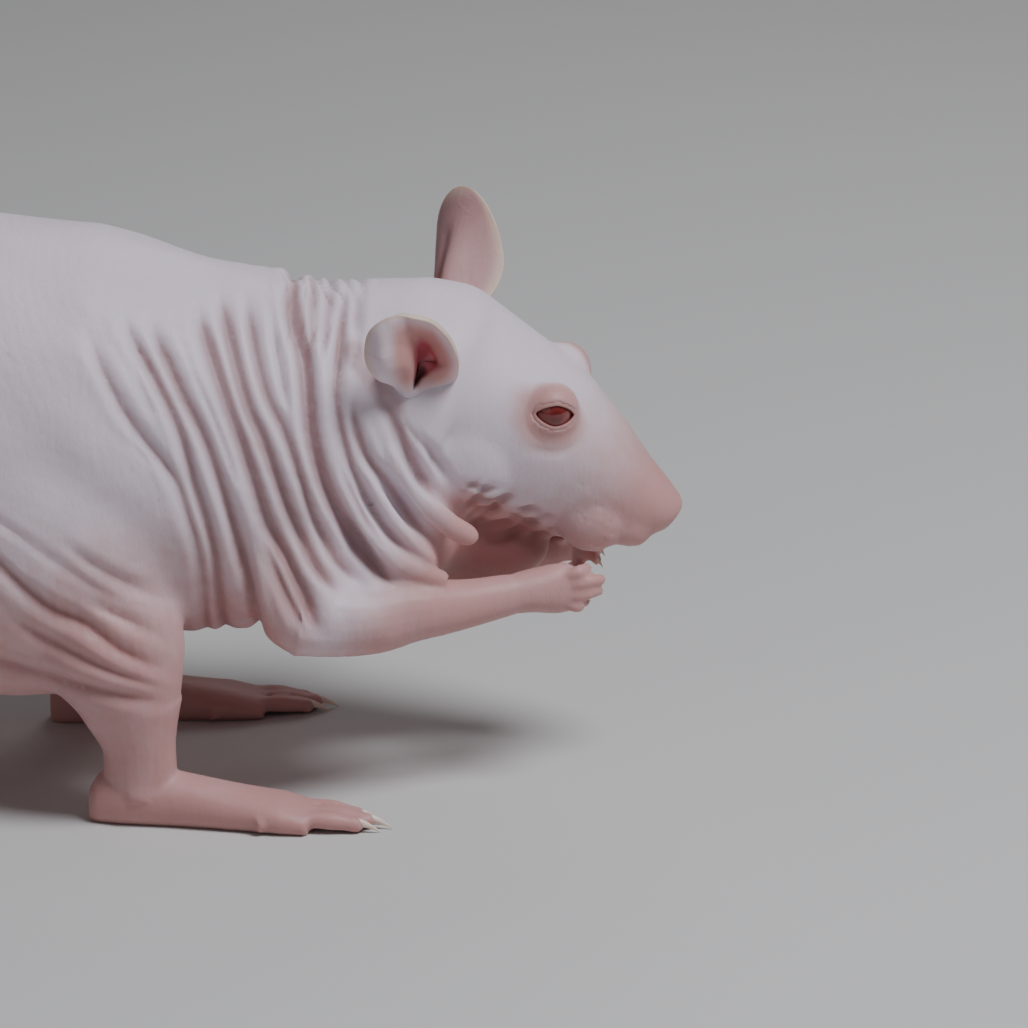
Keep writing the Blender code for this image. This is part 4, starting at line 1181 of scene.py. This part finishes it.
# %% Sizes of the ears
EAR_WALL = 0.75
# The far ear's ridge, pit and lobe: height, middle and width across the ear
EAR_RIDGE = (2.1, 0.12, 0.15)
EAR_PIT = (2.2, -0.26, 0.26)
EAR_LOBE = (0.9, 0.62, 0.30)
EAR_VALUES = ("red", "warm", "dark", "rim")
# How wide the far ear's root is in front and behind, as a share of its full width
EAR_ROOT_WIDTH = (0.42, 0.85)
NEAR_EAR_BOTTOM = (59.2, 57.4, 32.6)
# Sections of the near ear, all the way round: X, height and depth as seen, from pit to rim
NEAR_EAR = [
    ((59.0, 59.8, 33.0), (58.9, 60.9, 37.0), (58.6, 61.9, 40.0), (58.4, 62.9, 42.0), (58.1, 63.6, 43.0)),
    ((59.7, 59.6, 33.0), (60.1, 60.4, 36.6), (60.6, 61.3, 39.3), (60.7, 62.1, 41.0), (60.6, 62.9, 42.0)),
    ((60.4, 58.8, 33.0), (60.9, 59.2, 35.4), (61.6, 59.8, 37.5), (62.3, 60.3, 39.0), (62.8, 60.9, 40.0)),
    ((61.0, 57.9, 32.6), (61.6, 57.9, 34.2), (62.6, 58.1, 36.0), (63.4, 58.3, 37.2), (64.0, 58.5, 37.6)),
    ((61.0, 57.2, 32.2), (61.7, 57.1, 33.2), (62.8, 56.9, 34.4), (63.7, 56.8, 35.0), (64.3, 56.7, 35.0)),
    ((60.5, 56.6, 32.8), (61.1, 56.1, 33.1), (62.2, 55.6, 32.8), (63.0, 55.2, 31.9), (63.8, 54.9, 30.8)),
    ((59.7, 55.9, 32.7), (60.0, 55.4, 32.9), (60.7, 54.6, 32.3), (61.4, 54.0, 31.2), (61.9, 53.7, 29.9)),
    ((58.9, 55.3, 32.6), (59.0, 54.8, 33.0), (59.3, 53.9, 32.4), (59.6, 53.3, 31.3), (59.8, 52.8, 30.0)),
    ((58.2, 54.3, 32.8), (58.3, 53.8, 33.3), (58.4, 53.2, 32.7), (58.4, 52.8, 31.7), (58.5, 52.4, 30.4)),
    ((57.8, 53.9, 32.8), (57.6, 53.4, 33.9), (57.3, 52.8, 33.4), (57.1, 52.3, 32.2), (56.9, 51.9, 30.6)),
    ((57.9, 54.6, 32.6), (57.5, 54.3, 35.2), (56.7, 53.9, 35.6), (56.2, 53.6, 34.6), (55.7, 53.4, 32.8)),
    ((58.1, 55.7, 31.6), (57.5, 55.7, 36.8), (56.4, 55.5, 37.7), (55.4, 54.8, 37.2), (54.8, 54.2, 35.8)),
    ((58.1, 56.6, 32.4), (57.5, 56.8, 37.8), (56.0, 56.7, 39.7), (54.1, 55.8, 40.0), (52.9, 54.9, 38.4)),
    ((58.1, 57.4, 32.8), (57.5, 58.1, 38.4), (55.6, 58.3, 40.8), (53.4, 57.5, 41.4), (51.6, 56.4, 38.8)),
    ((58.2, 58.3, 33.0), (57.5, 59.1, 38.6), (55.5, 59.8, 41.4), (53.2, 59.4, 42.0), (51.1, 58.5, 39.4)),
    ((58.3, 59.0, 33.0), (57.7, 60.1, 38.6), (55.9, 61.1, 41.8), (53.6, 61.4, 42.6), (51.6, 61.3, 41.0)),
    ((58.5, 59.5, 33.0), (58.2, 60.6, 38.0), (56.9, 61.8, 41.4), (55.2, 62.6, 42.8), (53.5, 63.1, 42.4)),
    ((58.7, 59.7, 33.0), (58.5, 60.8, 37.4), (57.8, 62.0, 40.6), (56.8, 63.1, 42.5), (56.0, 63.9, 43.0)),
]
# Steps between neighbouring points, along a section and from one section to the next
NEAR_EAR_STEPS = (7, 6)
NEAR_EAR_OPENING = (0.1, -0.95, 0.3)
FAR_EAR_SEGMENTS = (44, 44)

# %% The far ear's shape
def ear_outline(share, back):
    widest = 0.55 if back < 0.0 else 0.62
    rise = min(share / widest, 1.0)
    root = EAR_ROOT_WIDTH[0 if back < 0.0 else 1]
    root += (1.0 - root) * ease(rise) * (1.0 if back < 0.0 else rise ** 0.5)
    end = math.sqrt(max(0.0, 1.0 - max(0.0, (share - 0.45) / 0.55) ** 2.8))
    return root * max(end, 0.12)


def hill(value, shape):
    height, middle, width = shape
    return height * math.exp(-((value - middle) / width) ** 2)


def ear_relief(share, back):
    # A pit towards the front edge, a ridge behind it and a lobe that rolls back.
    lower = 1.0 - smooth_step(share, 0.40, 0.80)
    lobe = hill(back, EAR_LOBE) * share * (1.0 - smooth_step(share, 0.65, 0.95))
    return lower * (hill(back, EAR_RIDGE) - hill(back, EAR_PIT)) - lobe


def far_ear_spot(x, y):
    share = ease(0.5 + x / 2)
    across = ease(y)
    back = -across
    out = EAR_HALF_WIDTH * ear_outline(share, back) * across
    curve = EAR_CURVE[0] + (EAR_CURVE[1] - EAR_CURVE[0]) * share
    along = -EAR_SUNK + (EAR_LENGTH + EAR_SUNK) * share
    rise = curve * out ** 2 - EAR_TIP_BEND * share ** 2 + 0.55 * ear_relief(share, back)
    low = 1.0 - smooth_step(share, 0.35, 0.85)
    red = smooth_step(back, -0.75, -0.35) * (1.0 - smooth_step(back, -0.02, 0.10)) * low
    warm = smooth_step(back, -1.0, -0.1) * (1.0 - smooth_step(back, 0.12, 0.75))
    rim = min(1.0, smooth_step(abs(back), 0.8, 1.0) + smooth_step(share, 0.88, 1.0))
    # Painted shade: the pit's deepest part near the root goes near black
    dark = red * (1.0 - smooth_step(share, 0.22, 0.46))
    spot = ear_frame() @ Vector((along, out, rise))
    return spot, (red, warm * (1.0 - smooth_step(share, 0.6, 0.95)), dark, rim)

# %% The near ear's shape
def near_ear_rows():
    # The sections, made smooth along themselves and then all the way round the canal.
    rows = [curve_points([NEAR_EAR_BOTTOM, *row], NEAR_EAR_STEPS[0]) for row in NEAR_EAR]
    rings = []
    for ring in zip(*rows):
        ring = list(ring)
        smooth = curve_points(ring[-3:] + ring + ring[:4], NEAR_EAR_STEPS[1])
        rings.append(smooth[3 * NEAR_EAR_STEPS[1]:-3 * NEAR_EAR_STEPS[1]])
    return np.array(rings)


NEAR_RINGS = near_ear_rows()
# The slit of the canal as seen, painted near black as shade
SLIT = ((59.0, 55.9), (57.7, 53.5))


def near_ear_spot(x, y):
    rings, turns = NEAR_RINGS.shape[:2]
    ring = round((x + 1.0) / 2.0 * (rings - 1))
    turn = round((y + 1.0) / 2.0 * (turns - 1))
    along, height, depth = NEAR_RINGS[ring, turn]
    share = ring / (rings - 1)
    start, end = Vector(SLIT[0]), Vector(SLIT[1])
    way = end - start
    t = min(max((Vector((along, height)) - start).dot(way) / way.length_squared, 0.0), 1.0)
    gap = (Vector((along, height)) - start - way * t).length
    # Painted shade: the slit and the pit around it go near black
    dark = (1.0 - smooth_step(gap, 0.35, 1.3)) * (1.0 - smooth_step(share, 0.36, 0.42))
    # Painted light: the back lobe, where it faces the light, is painted pale instead of warm pink
    back = 1.0 - smooth_step(along, 53.4, 56.0)
    warm = (1.0 - 0.8 * smooth_step(share, 0.55, 0.95)) * (1.0 - back * smooth_step(share, 0.5, 0.72))
    rim = smooth_step(share, 0.86, 0.98) * smooth_step(height, 54.5, 57.0)
    red = 1.0 - smooth_step(share, 0.30, 0.44)
    warm *= 0.15 + 0.85 * smooth_step(height, 52.6, 55.4)
    return seen_place(along, height, depth), (red, warm, dark * 0.9, rim)

# %% Make both ears
def make_ear(word, opening, spot_rule, segments):
    bm = bmesh.new()
    layers = [bm.verts.layers.float.new(name) for name in EAR_VALUES]
    grid = bmesh.ops.create_grid(bm, x_segments=segments[0], y_segments=segments[1], size=1.0)["verts"]
    for vert in grid:
        vert.co, values = spot_rule(vert.co.x, vert.co.y)
        for layer, value in zip(layers, values):
            vert[layer] = value
    bmesh.ops.remove_doubles(bm, verts=bm.verts, dist=0.005)
    bmesh.ops.recalc_face_normals(bm, faces=bm.faces)
    ear = new_object(f"ear_skin_{word}", bm)
    middle = vertex_values(ear.data, "co")
    ways = vertex_values(ear.data, "normal")
    ways *= math.copysign(1.0, (ways @ np.array(opening)).mean())
    tree = KDTree(len(middle))
    for index, spot in enumerate(middle):
        tree.insert(spot, index)
    tree.balance()
    modify(ear, "SOLIDIFY", thickness=EAR_WALL, offset=0.0)
    modify(ear, "SUBSURF", levels=1, render_levels=1)
    bake(ear)
    with edited(ear) as bm:
        bmesh.ops.recalc_face_normals(bm, faces=bm.faces)
    # Which side of the wall a place is on: 1 towards the opening, 0 on the ear's back
    spots = vertex_values(ear.data, "co")
    nearest = [tree.find(spot)[1] for spot in spots]
    inside = ((spots - middle[nearest]) * ways[nearest]).sum(axis=1)
    add_values(ear, inside=smooth_step(inside, -0.25, 0.15))
    print(ear.name, "triangles:", triangles(ear))
    return finish_piece(ear, "ear_skin", f"ear_{word}")


near_segments = (NEAR_RINGS.shape[0] - 1, NEAR_RINGS.shape[1] - 1)
far_opening = ear_frame().col[2][:3]
ears = [make_ear("right", NEAR_EAR_OPENING, near_ear_spot, near_segments)]
ears.append(make_ear("left", far_opening, far_ear_spot, FAR_EAR_SEGMENTS))

# %% [markdown]
# ## The lids' margins
# The voxel mesh is too coarse for the crisp wet edge of an eyelid, so that edge is a piece of
# its own: a soft-edged ring between an almond and a circle, wrapped over the eyeball. Its outer
# part lies under the skin. The section of the ring is a closed loop, so the ring has no open edge.

# %% Lid margins
# Share of the way from the almond to the circle, and height over the eyeball
LID_SECTION = [
    (0.0, 0.06), (0.0, 0.22), (0.03, 0.40), (0.10, 0.46), (0.22, 0.52), (0.40, 0.60),
    (0.62, 0.62), (1.0, 0.50), (1.0, 0.05), (0.5, 0.02), (0.15, 0.02),
]
LID_REACH = 3.75


def make_lids(word, side):
    place = lid_frame(side)
    bm = bmesh.new()
    margin_layer = bm.verts.layers.float.new("margin")
    rings = []
    for share, height in LID_SECTION:
        ring = bmesh.ops.create_circle(bm, segments=72, radius=1.0)["verts"]
        for vert in ring:
            across, up = vert.co.x, vert.co.y
            almond = Vector((math.copysign(abs(across) ** 1.25, across) * LID_OPENING[0] / 2,
                             math.copysign(abs(up) ** 1.25, up) * LID_OPENING[1] / 2))
            spot = almond.lerp(Vector((across, up)) * LID_REACH, share)
            radius = EYE_RADIUS + height
            ahead = math.sqrt(max(radius ** 2 - spot.length_squared, 0.2))
            vert.co = place @ Vector((ahead, spot.x, spot.y))
            vert[margin_layer] = 1.0 - min(share / 0.2, 1.0)
        rings.append(ring)
    bridge_rings(bm, rings, True)
    bmesh.ops.recalc_face_normals(bm, faces=bm.faces)
    lids = new_object(f"lids_{word}", bm)
    margin = np.zeros(len(lids.data.vertices), dtype=np.float32)
    lids.data.attributes["margin"].data.foreach_get("value", margin)
    add_values(lids, flush=0.9 + 0.1 * margin, valley=0.15 + 0.65 * margin,
               pad=0.0 * margin, tail=0.0 * margin)
    return finish_piece(lids, "skin")


lid_pieces = [make_lids(word, side) for word, side in SIDES.items()]

# %% [markdown]
# ## The eyes
# The eye of a pink-eyed rat is a dark ruby ball with a wet, mirror-like front. One finely
# divided ball is enough, with a slightly raised cornea in front; its colours come from rings
# about its line of sight, kept as an attribute.

# %% Eyes
# The cornea's radius and how far it stands out
CORNEA = (2.5, 0.25)


def make_eye(word, side):
    bm = bmesh.new()
    bmesh.ops.create_uvsphere(bm, u_segments=64, v_segments=40, radius=EYE_RADIUS)
    ring_layer = bm.verts.layers.float.new("ring")
    for vert in bm.verts:
        reach = math.hypot(vert.co.x, vert.co.y)
        front = vert.co.z > 0.0
        vert[ring_layer] = reach / EYE_RADIUS if front else 1.0
        if front and reach < CORNEA[0]:
            vert.co.z += CORNEA[1] * (1.0 - (reach / CORNEA[0]) ** 2) ** 2
    bmesh.ops.transform(bm, matrix=eye_frame(side) @ rotation(90.0, "Y"), verts=bm.verts)
    eye = new_object(f"eyeball_{word}", bm)
    return finish_piece(eye, "eye_gloss", f"eye_{word}")


eyes = [make_eye(word, side) for word, side in SIDES.items()]

# %% [markdown]
# ## The claws
# A claw is a small cone of horn that bends down to a point. It grows out of the upper side of
# the digit's tip, so it starts inside the pad. All the claws of one paw are one piece.

# %% Claws
CLAW_SUNK = 0.9
CLAW_STEPS = 8


def claw(bm, points, radius, length):
    tip = Vector(points[-1])
    forward = (tip - Vector(points[-2])).normalized()
    place = path_frames([tip, tip + forward])[0]
    sections = []
    for step in range(CLAW_STEPS + 1):
        t = step / CLAW_STEPS
        reach = -CLAW_SUNK + (length + CLAW_SUNK) * t
        thick = radius * (0.5 - 0.44 * t)
        centre = (reach, 0.0, radius * 0.28 - 0.35 * length * t * t)
        sections.append((place @ at(centre), thick * 0.75, thick, 2.0))
    add_loft(bm, sections, 12)


def make_claws(kind, word, side):
    bm = bmesh.new()
    for points, radius, length in digit_lines(kind, side):
        claw(bm, points, radius, length)
    bmesh.ops.recalc_face_normals(bm, faces=bm.faces)
    for vert in bm.verts:
        vert.co.z = max(vert.co.z, 0.02)
    return finish_piece(new_object(f"claws_{kind}_{word}", bm), "paw_skin")


claws = [make_claws(kind, word, side) for word, side in SIDES.items() for kind in ("fore", "hind")]
print("claw pieces:", [piece.name for piece in claws])

# %% [markdown]
# ## Shader maths
# A material is easier to read as a formula than as a wall of nodes. The class below wraps one
# output of a node; adding or multiplying two of them adds the Math node that does it.

# %% Sockets with operators
def maths(operation, flipped=False):
    def method(self, other):
        pair = (other, self) if flipped else (self, other)
        return self.recipe.node("ShaderNodeMath", {"operation": operation}, dict(enumerate(pair)))
    return method


class Port:
    def __init__(self, recipe, socket):
        self.recipe = recipe
        self.socket = socket

    __add__ = maths("ADD")
    __radd__ = maths("ADD", True)
    __sub__ = maths("SUBTRACT")
    __rsub__ = maths("SUBTRACT", True)
    __mul__ = maths("MULTIPLY")
    __rmul__ = maths("MULTIPLY", True)


class Recipe:
    # A new material with a Principled BSDF, and the few ways of adding nodes to it.
    def __init__(self, name, view_colour):
        self.material = bpy.data.materials.new(name)
        self.material.use_nodes = True
        self.material.diffuse_color = (*view_colour, 1.0)
        self.tree = self.material.node_tree
        self.shader = self.tree.nodes["Principled BSDF"]

    def fill(self, socket, value):
        if isinstance(value, Port):
            self.tree.links.new(value.socket, socket)
        elif isinstance(value, (tuple, list)) and len(value) == 3 and len(socket.default_value) == 4:
            socket.default_value = (*value, 1.0)
        else:
            socket.default_value = value

    def node(self, kind, settings=None, inputs=None, output=0):
        node = self.tree.nodes.new(kind)
        for name, value in (settings or {}).items():
            if name == "stops":
                ramp = node.color_ramp
                while len(ramp.elements) < len(value):
                    ramp.elements.new(0.5)
                for element, (position, colour) in zip(ramp.elements, value):
                    element.position = position
                    element.color = (*colour, 1.0)
            else:
                setattr(node, name, value)
        for key, value in (inputs or {}).items():
            self.fill(node.inputs[key], value)
        return Port(self, node.outputs[output])

    def coordinates(self):
        return self.node("ShaderNodeTexCoord", output=3)

    def attribute(self, name):
        return self.node("ShaderNodeAttribute", {"attribute_name": name}, output=2)

    def noise(self, where, scale, detail=3.0, distortion=0.0):
        values = {"Vector": where, "Scale": scale, "Detail": detail, "Distortion": distortion}
        return self.node("ShaderNodeTexNoise", None, values)

    def cells(self, where, scale, feature="F1"):
        return self.node("ShaderNodeTexVoronoi", {"feature": feature}, {"Vector": where, "Scale": scale})

    def stretch(self, where, scale):
        return self.node("ShaderNodeMapping", None, {"Vector": where, "Scale": scale})

    def between(self, value, low, high):
        # 0 below low, 1 above high, smooth in between.
        values = {"Value": value, "From Min": low, "From Max": high}
        return self.node("ShaderNodeMapRange", {"interpolation_type": "SMOOTHSTEP"}, values)

    def mix(self, share, first, second):
        return self.node("ShaderNodeMix", {"data_type": "RGBA"}, {0: share, 6: first, 7: second}, 2)

    def bump(self, height, distance, strength):
        values = {"Strength": strength, "Distance": distance, "Height": height}
        return self.node("ShaderNodeBump", None, values)

    def finish(self, values, pieces):
        # A value that is the same all over goes on the shader's own socket.
        for name, value in values.items():
            self.fill(self.shader.inputs[name], value)
        for piece in pieces:
            piece.data.materials.clear()
            piece.data.materials.append(self.material)
        print(self.material.name, "on", [piece.name for piece in pieces])


# %% [markdown]
# ## Bare skin
# Thin bare skin is pale where it is stretched and pink where blood shows through. Light enters
# it, turns red inside and leaves close by, so subsurface scattering matters more than colour.
# Fine creases, pores and the tail's rings are bumps, far too small for the mesh.

# %% Skin material
PALE = (0.73, 0.635, 0.70)
PINK = (0.56, 0.30, 0.285)
# Dark red painted as shade in the folds, the throat's recess and the ear's shadow
FOLD_SHADE_RED = (0.30, 0.10, 0.085)
TAIL_RING = 1.15


def dress_skin(pieces):
    recipe = Recipe("bare_skin", PALE)
    where = recipe.coordinates()
    valley = recipe.attribute("valley")
    flush = recipe.attribute("flush")
    station = recipe.attribute("tail")
    pad = recipe.attribute("pad")
    blotches = recipe.noise(where, 55.0, 3.0)
    specks = recipe.noise(where, 420.0, 2.0)
    # The pink share, partly painted shade low on the body, mixes pale to pink
    warmth = recipe.between(flush + 0.55 * (blotches - 0.5) + 0.25 * (specks - 0.5), 0.0, 1.0)
    colour = recipe.mix(warmth, PALE, PINK)
    # Painted shade: the folds, wrinkles, throat recess and the ear's shadow turn dark red
    colour = recipe.mix(recipe.between(valley, 0.15, 1.3) * 0.68, colour, FOLD_SHADE_RED)
    creases = recipe.cells(recipe.stretch(where, (1.0, 1.0, 0.6)), 900.0, "DISTANCE_TO_EDGE")
    long_creases = recipe.noise(recipe.stretch(where, (1.0, 1.0, 0.18)), 620.0, 3.0, 1.2)
    rings = recipe.node("ShaderNodeMath", {"operation": "SINE"}, {0: station * (2.0 * math.pi / TAIL_RING)})
    on_tail = recipe.between(station, 10.0, 22.0)
    dots = recipe.cells(where, 640.0)
    height = recipe.between(creases, 0.0, 0.22) * 0.12 + long_creases * 0.45 + specks * 0.2
    height = height + on_tail * rings * 0.7 + recipe.between(dots, 0.12, 0.4) * pad * 0.45
    recipe.finish({
        "Base Color": colour, "Roughness": 0.46 + 0.14 * specks - 0.05 * flush,
        "Normal": recipe.bump(height, 0.00014, 0.6), "IOR": 1.4,
        "Subsurface Weight": 0.35, "Subsurface Radius": (1.0, 0.35, 0.22), "Subsurface Scale": 0.0022,
    }, pieces)


dress_skin([skin, *lid_pieces])

# %% [markdown]
# ## Ear skin
# The ear is so thin that light comes through it. Its rim is cream, its hollow is deep pink with
# fine veins, and its root takes the colour of the head.

# %% Ear material
RIM_CREAM = (0.70, 0.56, 0.46)
EAR_OUTER = (0.52, 0.31, 0.31)
EAR_WARM = (0.56, 0.27, 0.245)
EAR_RED = (0.60, 0.18, 0.215)
# Near black painted as shade in the canal
CANAL_SHADE = (0.04, 0.003, 0.003)


def dress_ears(pieces):
    recipe = Recipe("ear_skin_fine", EAR_WARM)
    where = recipe.coordinates()
    red, warm, dark, rim = [recipe.attribute(name) for name in EAR_VALUES]
    inside = recipe.attribute("inside")
    veins = recipe.between(recipe.noise(where, 260.0, 4.0, 1.5), 0.5, 0.62)
    inner = recipe.mix(warm * 0.95, PALE, EAR_WARM)
    inner = recipe.mix(red, inner, EAR_RED)
    # Painted shade in the canal
    inner = recipe.mix(dark, inner, CANAL_SHADE)
    colour = recipe.mix(inside, EAR_OUTER, inner)
    colour = recipe.mix(veins * 0.15, colour, EAR_WARM)
    colour = recipe.mix(rim * 0.85, colour, RIM_CREAM)
    fine = recipe.noise(where, 1100.0, 3.0)
    recipe.finish({
        "Base Color": colour, "Roughness": 0.45 + 0.15 * fine,
        "Normal": recipe.bump(fine + 0.6 * veins, 0.00006, 0.6),
        "Subsurface Weight": 0.45, "Subsurface Radius": (1.0, 0.4, 0.25), "Subsurface Scale": 0.0014,
    }, pieces)


dress_ears(ears)

# %% [markdown]
# ## Ruby eyes and horn claws
# With no dark pigment, the eye shows the red of its own blood: deep ruby, a little lighter
# in a ring round the pupil, under a wet coat. The claws are pale horn, clearer at the tip.

# %% Eye and claw materials
RUBY_DARK = (0.14, 0.012, 0.012)
RUBY = (0.19, 0.022, 0.020)
RUBY_EDGE = (0.28, 0.06, 0.05)
HORN = (0.80, 0.62, 0.52)
HORN_PALE = (0.88, 0.76, 0.68)


def dress_eyes(pieces):
    recipe = Recipe("ruby_eye", RUBY)
    ring = recipe.attribute("ring")
    streaks = recipe.noise(recipe.coordinates(), 1500.0, 3.0)
    stops = [(0.0, RUBY_DARK), (0.22, RUBY_DARK), (0.34, RUBY), (0.72, RUBY), (0.95, RUBY_EDGE)]
    colour = recipe.node("ShaderNodeValToRGB", {"stops": stops}, {0: ring + 0.08 * (streaks - 0.5)})
    recipe.finish({
        "Base Color": colour, "Roughness": 0.12 + 0.03 * streaks,
        "Coat Weight": 1.0, "Coat Roughness": 0.02, "IOR": 1.38,
    }, pieces)


def dress_claws(pieces):
    recipe = Recipe("claw_horn", HORN)
    grain = recipe.noise(recipe.stretch(recipe.coordinates(), (0.3, 1.0, 1.0)), 2400.0, 3.0)
    colour = recipe.mix(grain, HORN, HORN_PALE)
    recipe.finish({
        "Base Color": colour, "Roughness": 0.3 + 0.1 * grain,
        "Normal": recipe.bump(grain, 0.00003, 0.5),
        "Subsurface Weight": 0.3, "Subsurface Scale": 0.0008,
    }, pieces)


dress_eyes(eyes)
dress_claws(claws)

# %% [markdown]
# ## Floor, light and camera
# The model stands on a plain pale floor. One large soft light comes from the upper right in
# front, as a window would, with a weak one from the left so that the folds keep their shape
# in the shadow, and another from behind along the outline. The camera looks 18 degrees down
# from the rat's right side with a long lens.

# %% Floor
FLOOR_HALF = 3.0
FLOOR_GREY = (0.60, 0.59, 0.58)
FLOOR_PALE = (0.64, 0.63, 0.62)
FLOOR_VIEW = (0.8, 0.78, 0.76)


def make_floor():
    bm = bmesh.new()
    bmesh.ops.create_grid(bm, x_segments=2, y_segments=2, size=FLOOR_HALF)
    floor = new_object("floor", bm)
    recipe = Recipe("pale_floor", FLOOR_VIEW)
    soft = recipe.noise(recipe.coordinates(), 3.0, 2.0)
    colour = recipe.mix(soft, FLOOR_GREY, FLOOR_PALE)
    recipe.finish({"Base Color": colour, "Roughness": 0.8}, [floor])


make_floor()

# %% Lights and world
TARGET = TO_MODEL @ Vector((71.96, 0.0, 37.8))
WORLD_LIGHT = (0.92, 0.95, 1.0, 1.0)
WORLD_STRENGTH = 0.10
# Way from the model in metres, width in metres, power in watts, colour
LIGHTS = {
    "window": ((0.34, -0.26, 0.70), 0.30, 6.5, (0.92, 0.95, 1.0)),
    "fill": ((-0.40, -0.60, 0.30), 0.60, 0.3, (1.0, 0.95, 0.92)),
    "rim": ((0.10, 0.60, 0.50), 0.40, 0.6, (1.0, 0.97, 0.95)),
}


def soft_light(name, offset, size, power, colour):
    data = bpy.data.lights.new(name, "AREA")
    data.shape = "DISK"
    data.size = size
    data.energy = power
    data.color = colour
    light = add_object(name, data)
    light.location = TARGET + Vector(offset)
    light.rotation_euler = (-Vector(offset)).to_track_quat("-Z", "Y").to_euler()
    print(name, "light:", power, "watts,", size, "m wide")


for name, settings in LIGHTS.items():
    soft_light(name, *settings)
world = bpy.data.worlds.new("studio")
world.use_nodes = True
world.node_tree.nodes["Background"].inputs["Color"].default_value = WORLD_LIGHT
world.node_tree.nodes["Background"].inputs["Strength"].default_value = WORLD_STRENGTH
bpy.context.scene.world = world

# %% Camera
MM_PER_PIXEL = 0.14
IMAGE_WIDTH = 1028
SENSOR_WIDTH = 36.0

data = bpy.data.cameras.new("camera")
data.sensor_width = SENSOR_WIDTH
data.lens = CAMERA_DISTANCE * SENSOR_WIDTH / (MM_PER_PIXEL * IMAGE_WIDTH)
data.clip_start = 0.01
camera = add_object("camera", data)
back = Vector((0.0, -math.cos(SIGHT_DOWN), math.sin(SIGHT_DOWN)))
camera.location = TARGET + back * CAMERA_DISTANCE * MM
camera.rotation_euler = (math.radians(90.0) - SIGHT_DOWN, 0.0, 0.0)
bpy.context.scene.camera = camera
print("lens in mm:", round(data.lens, 1))
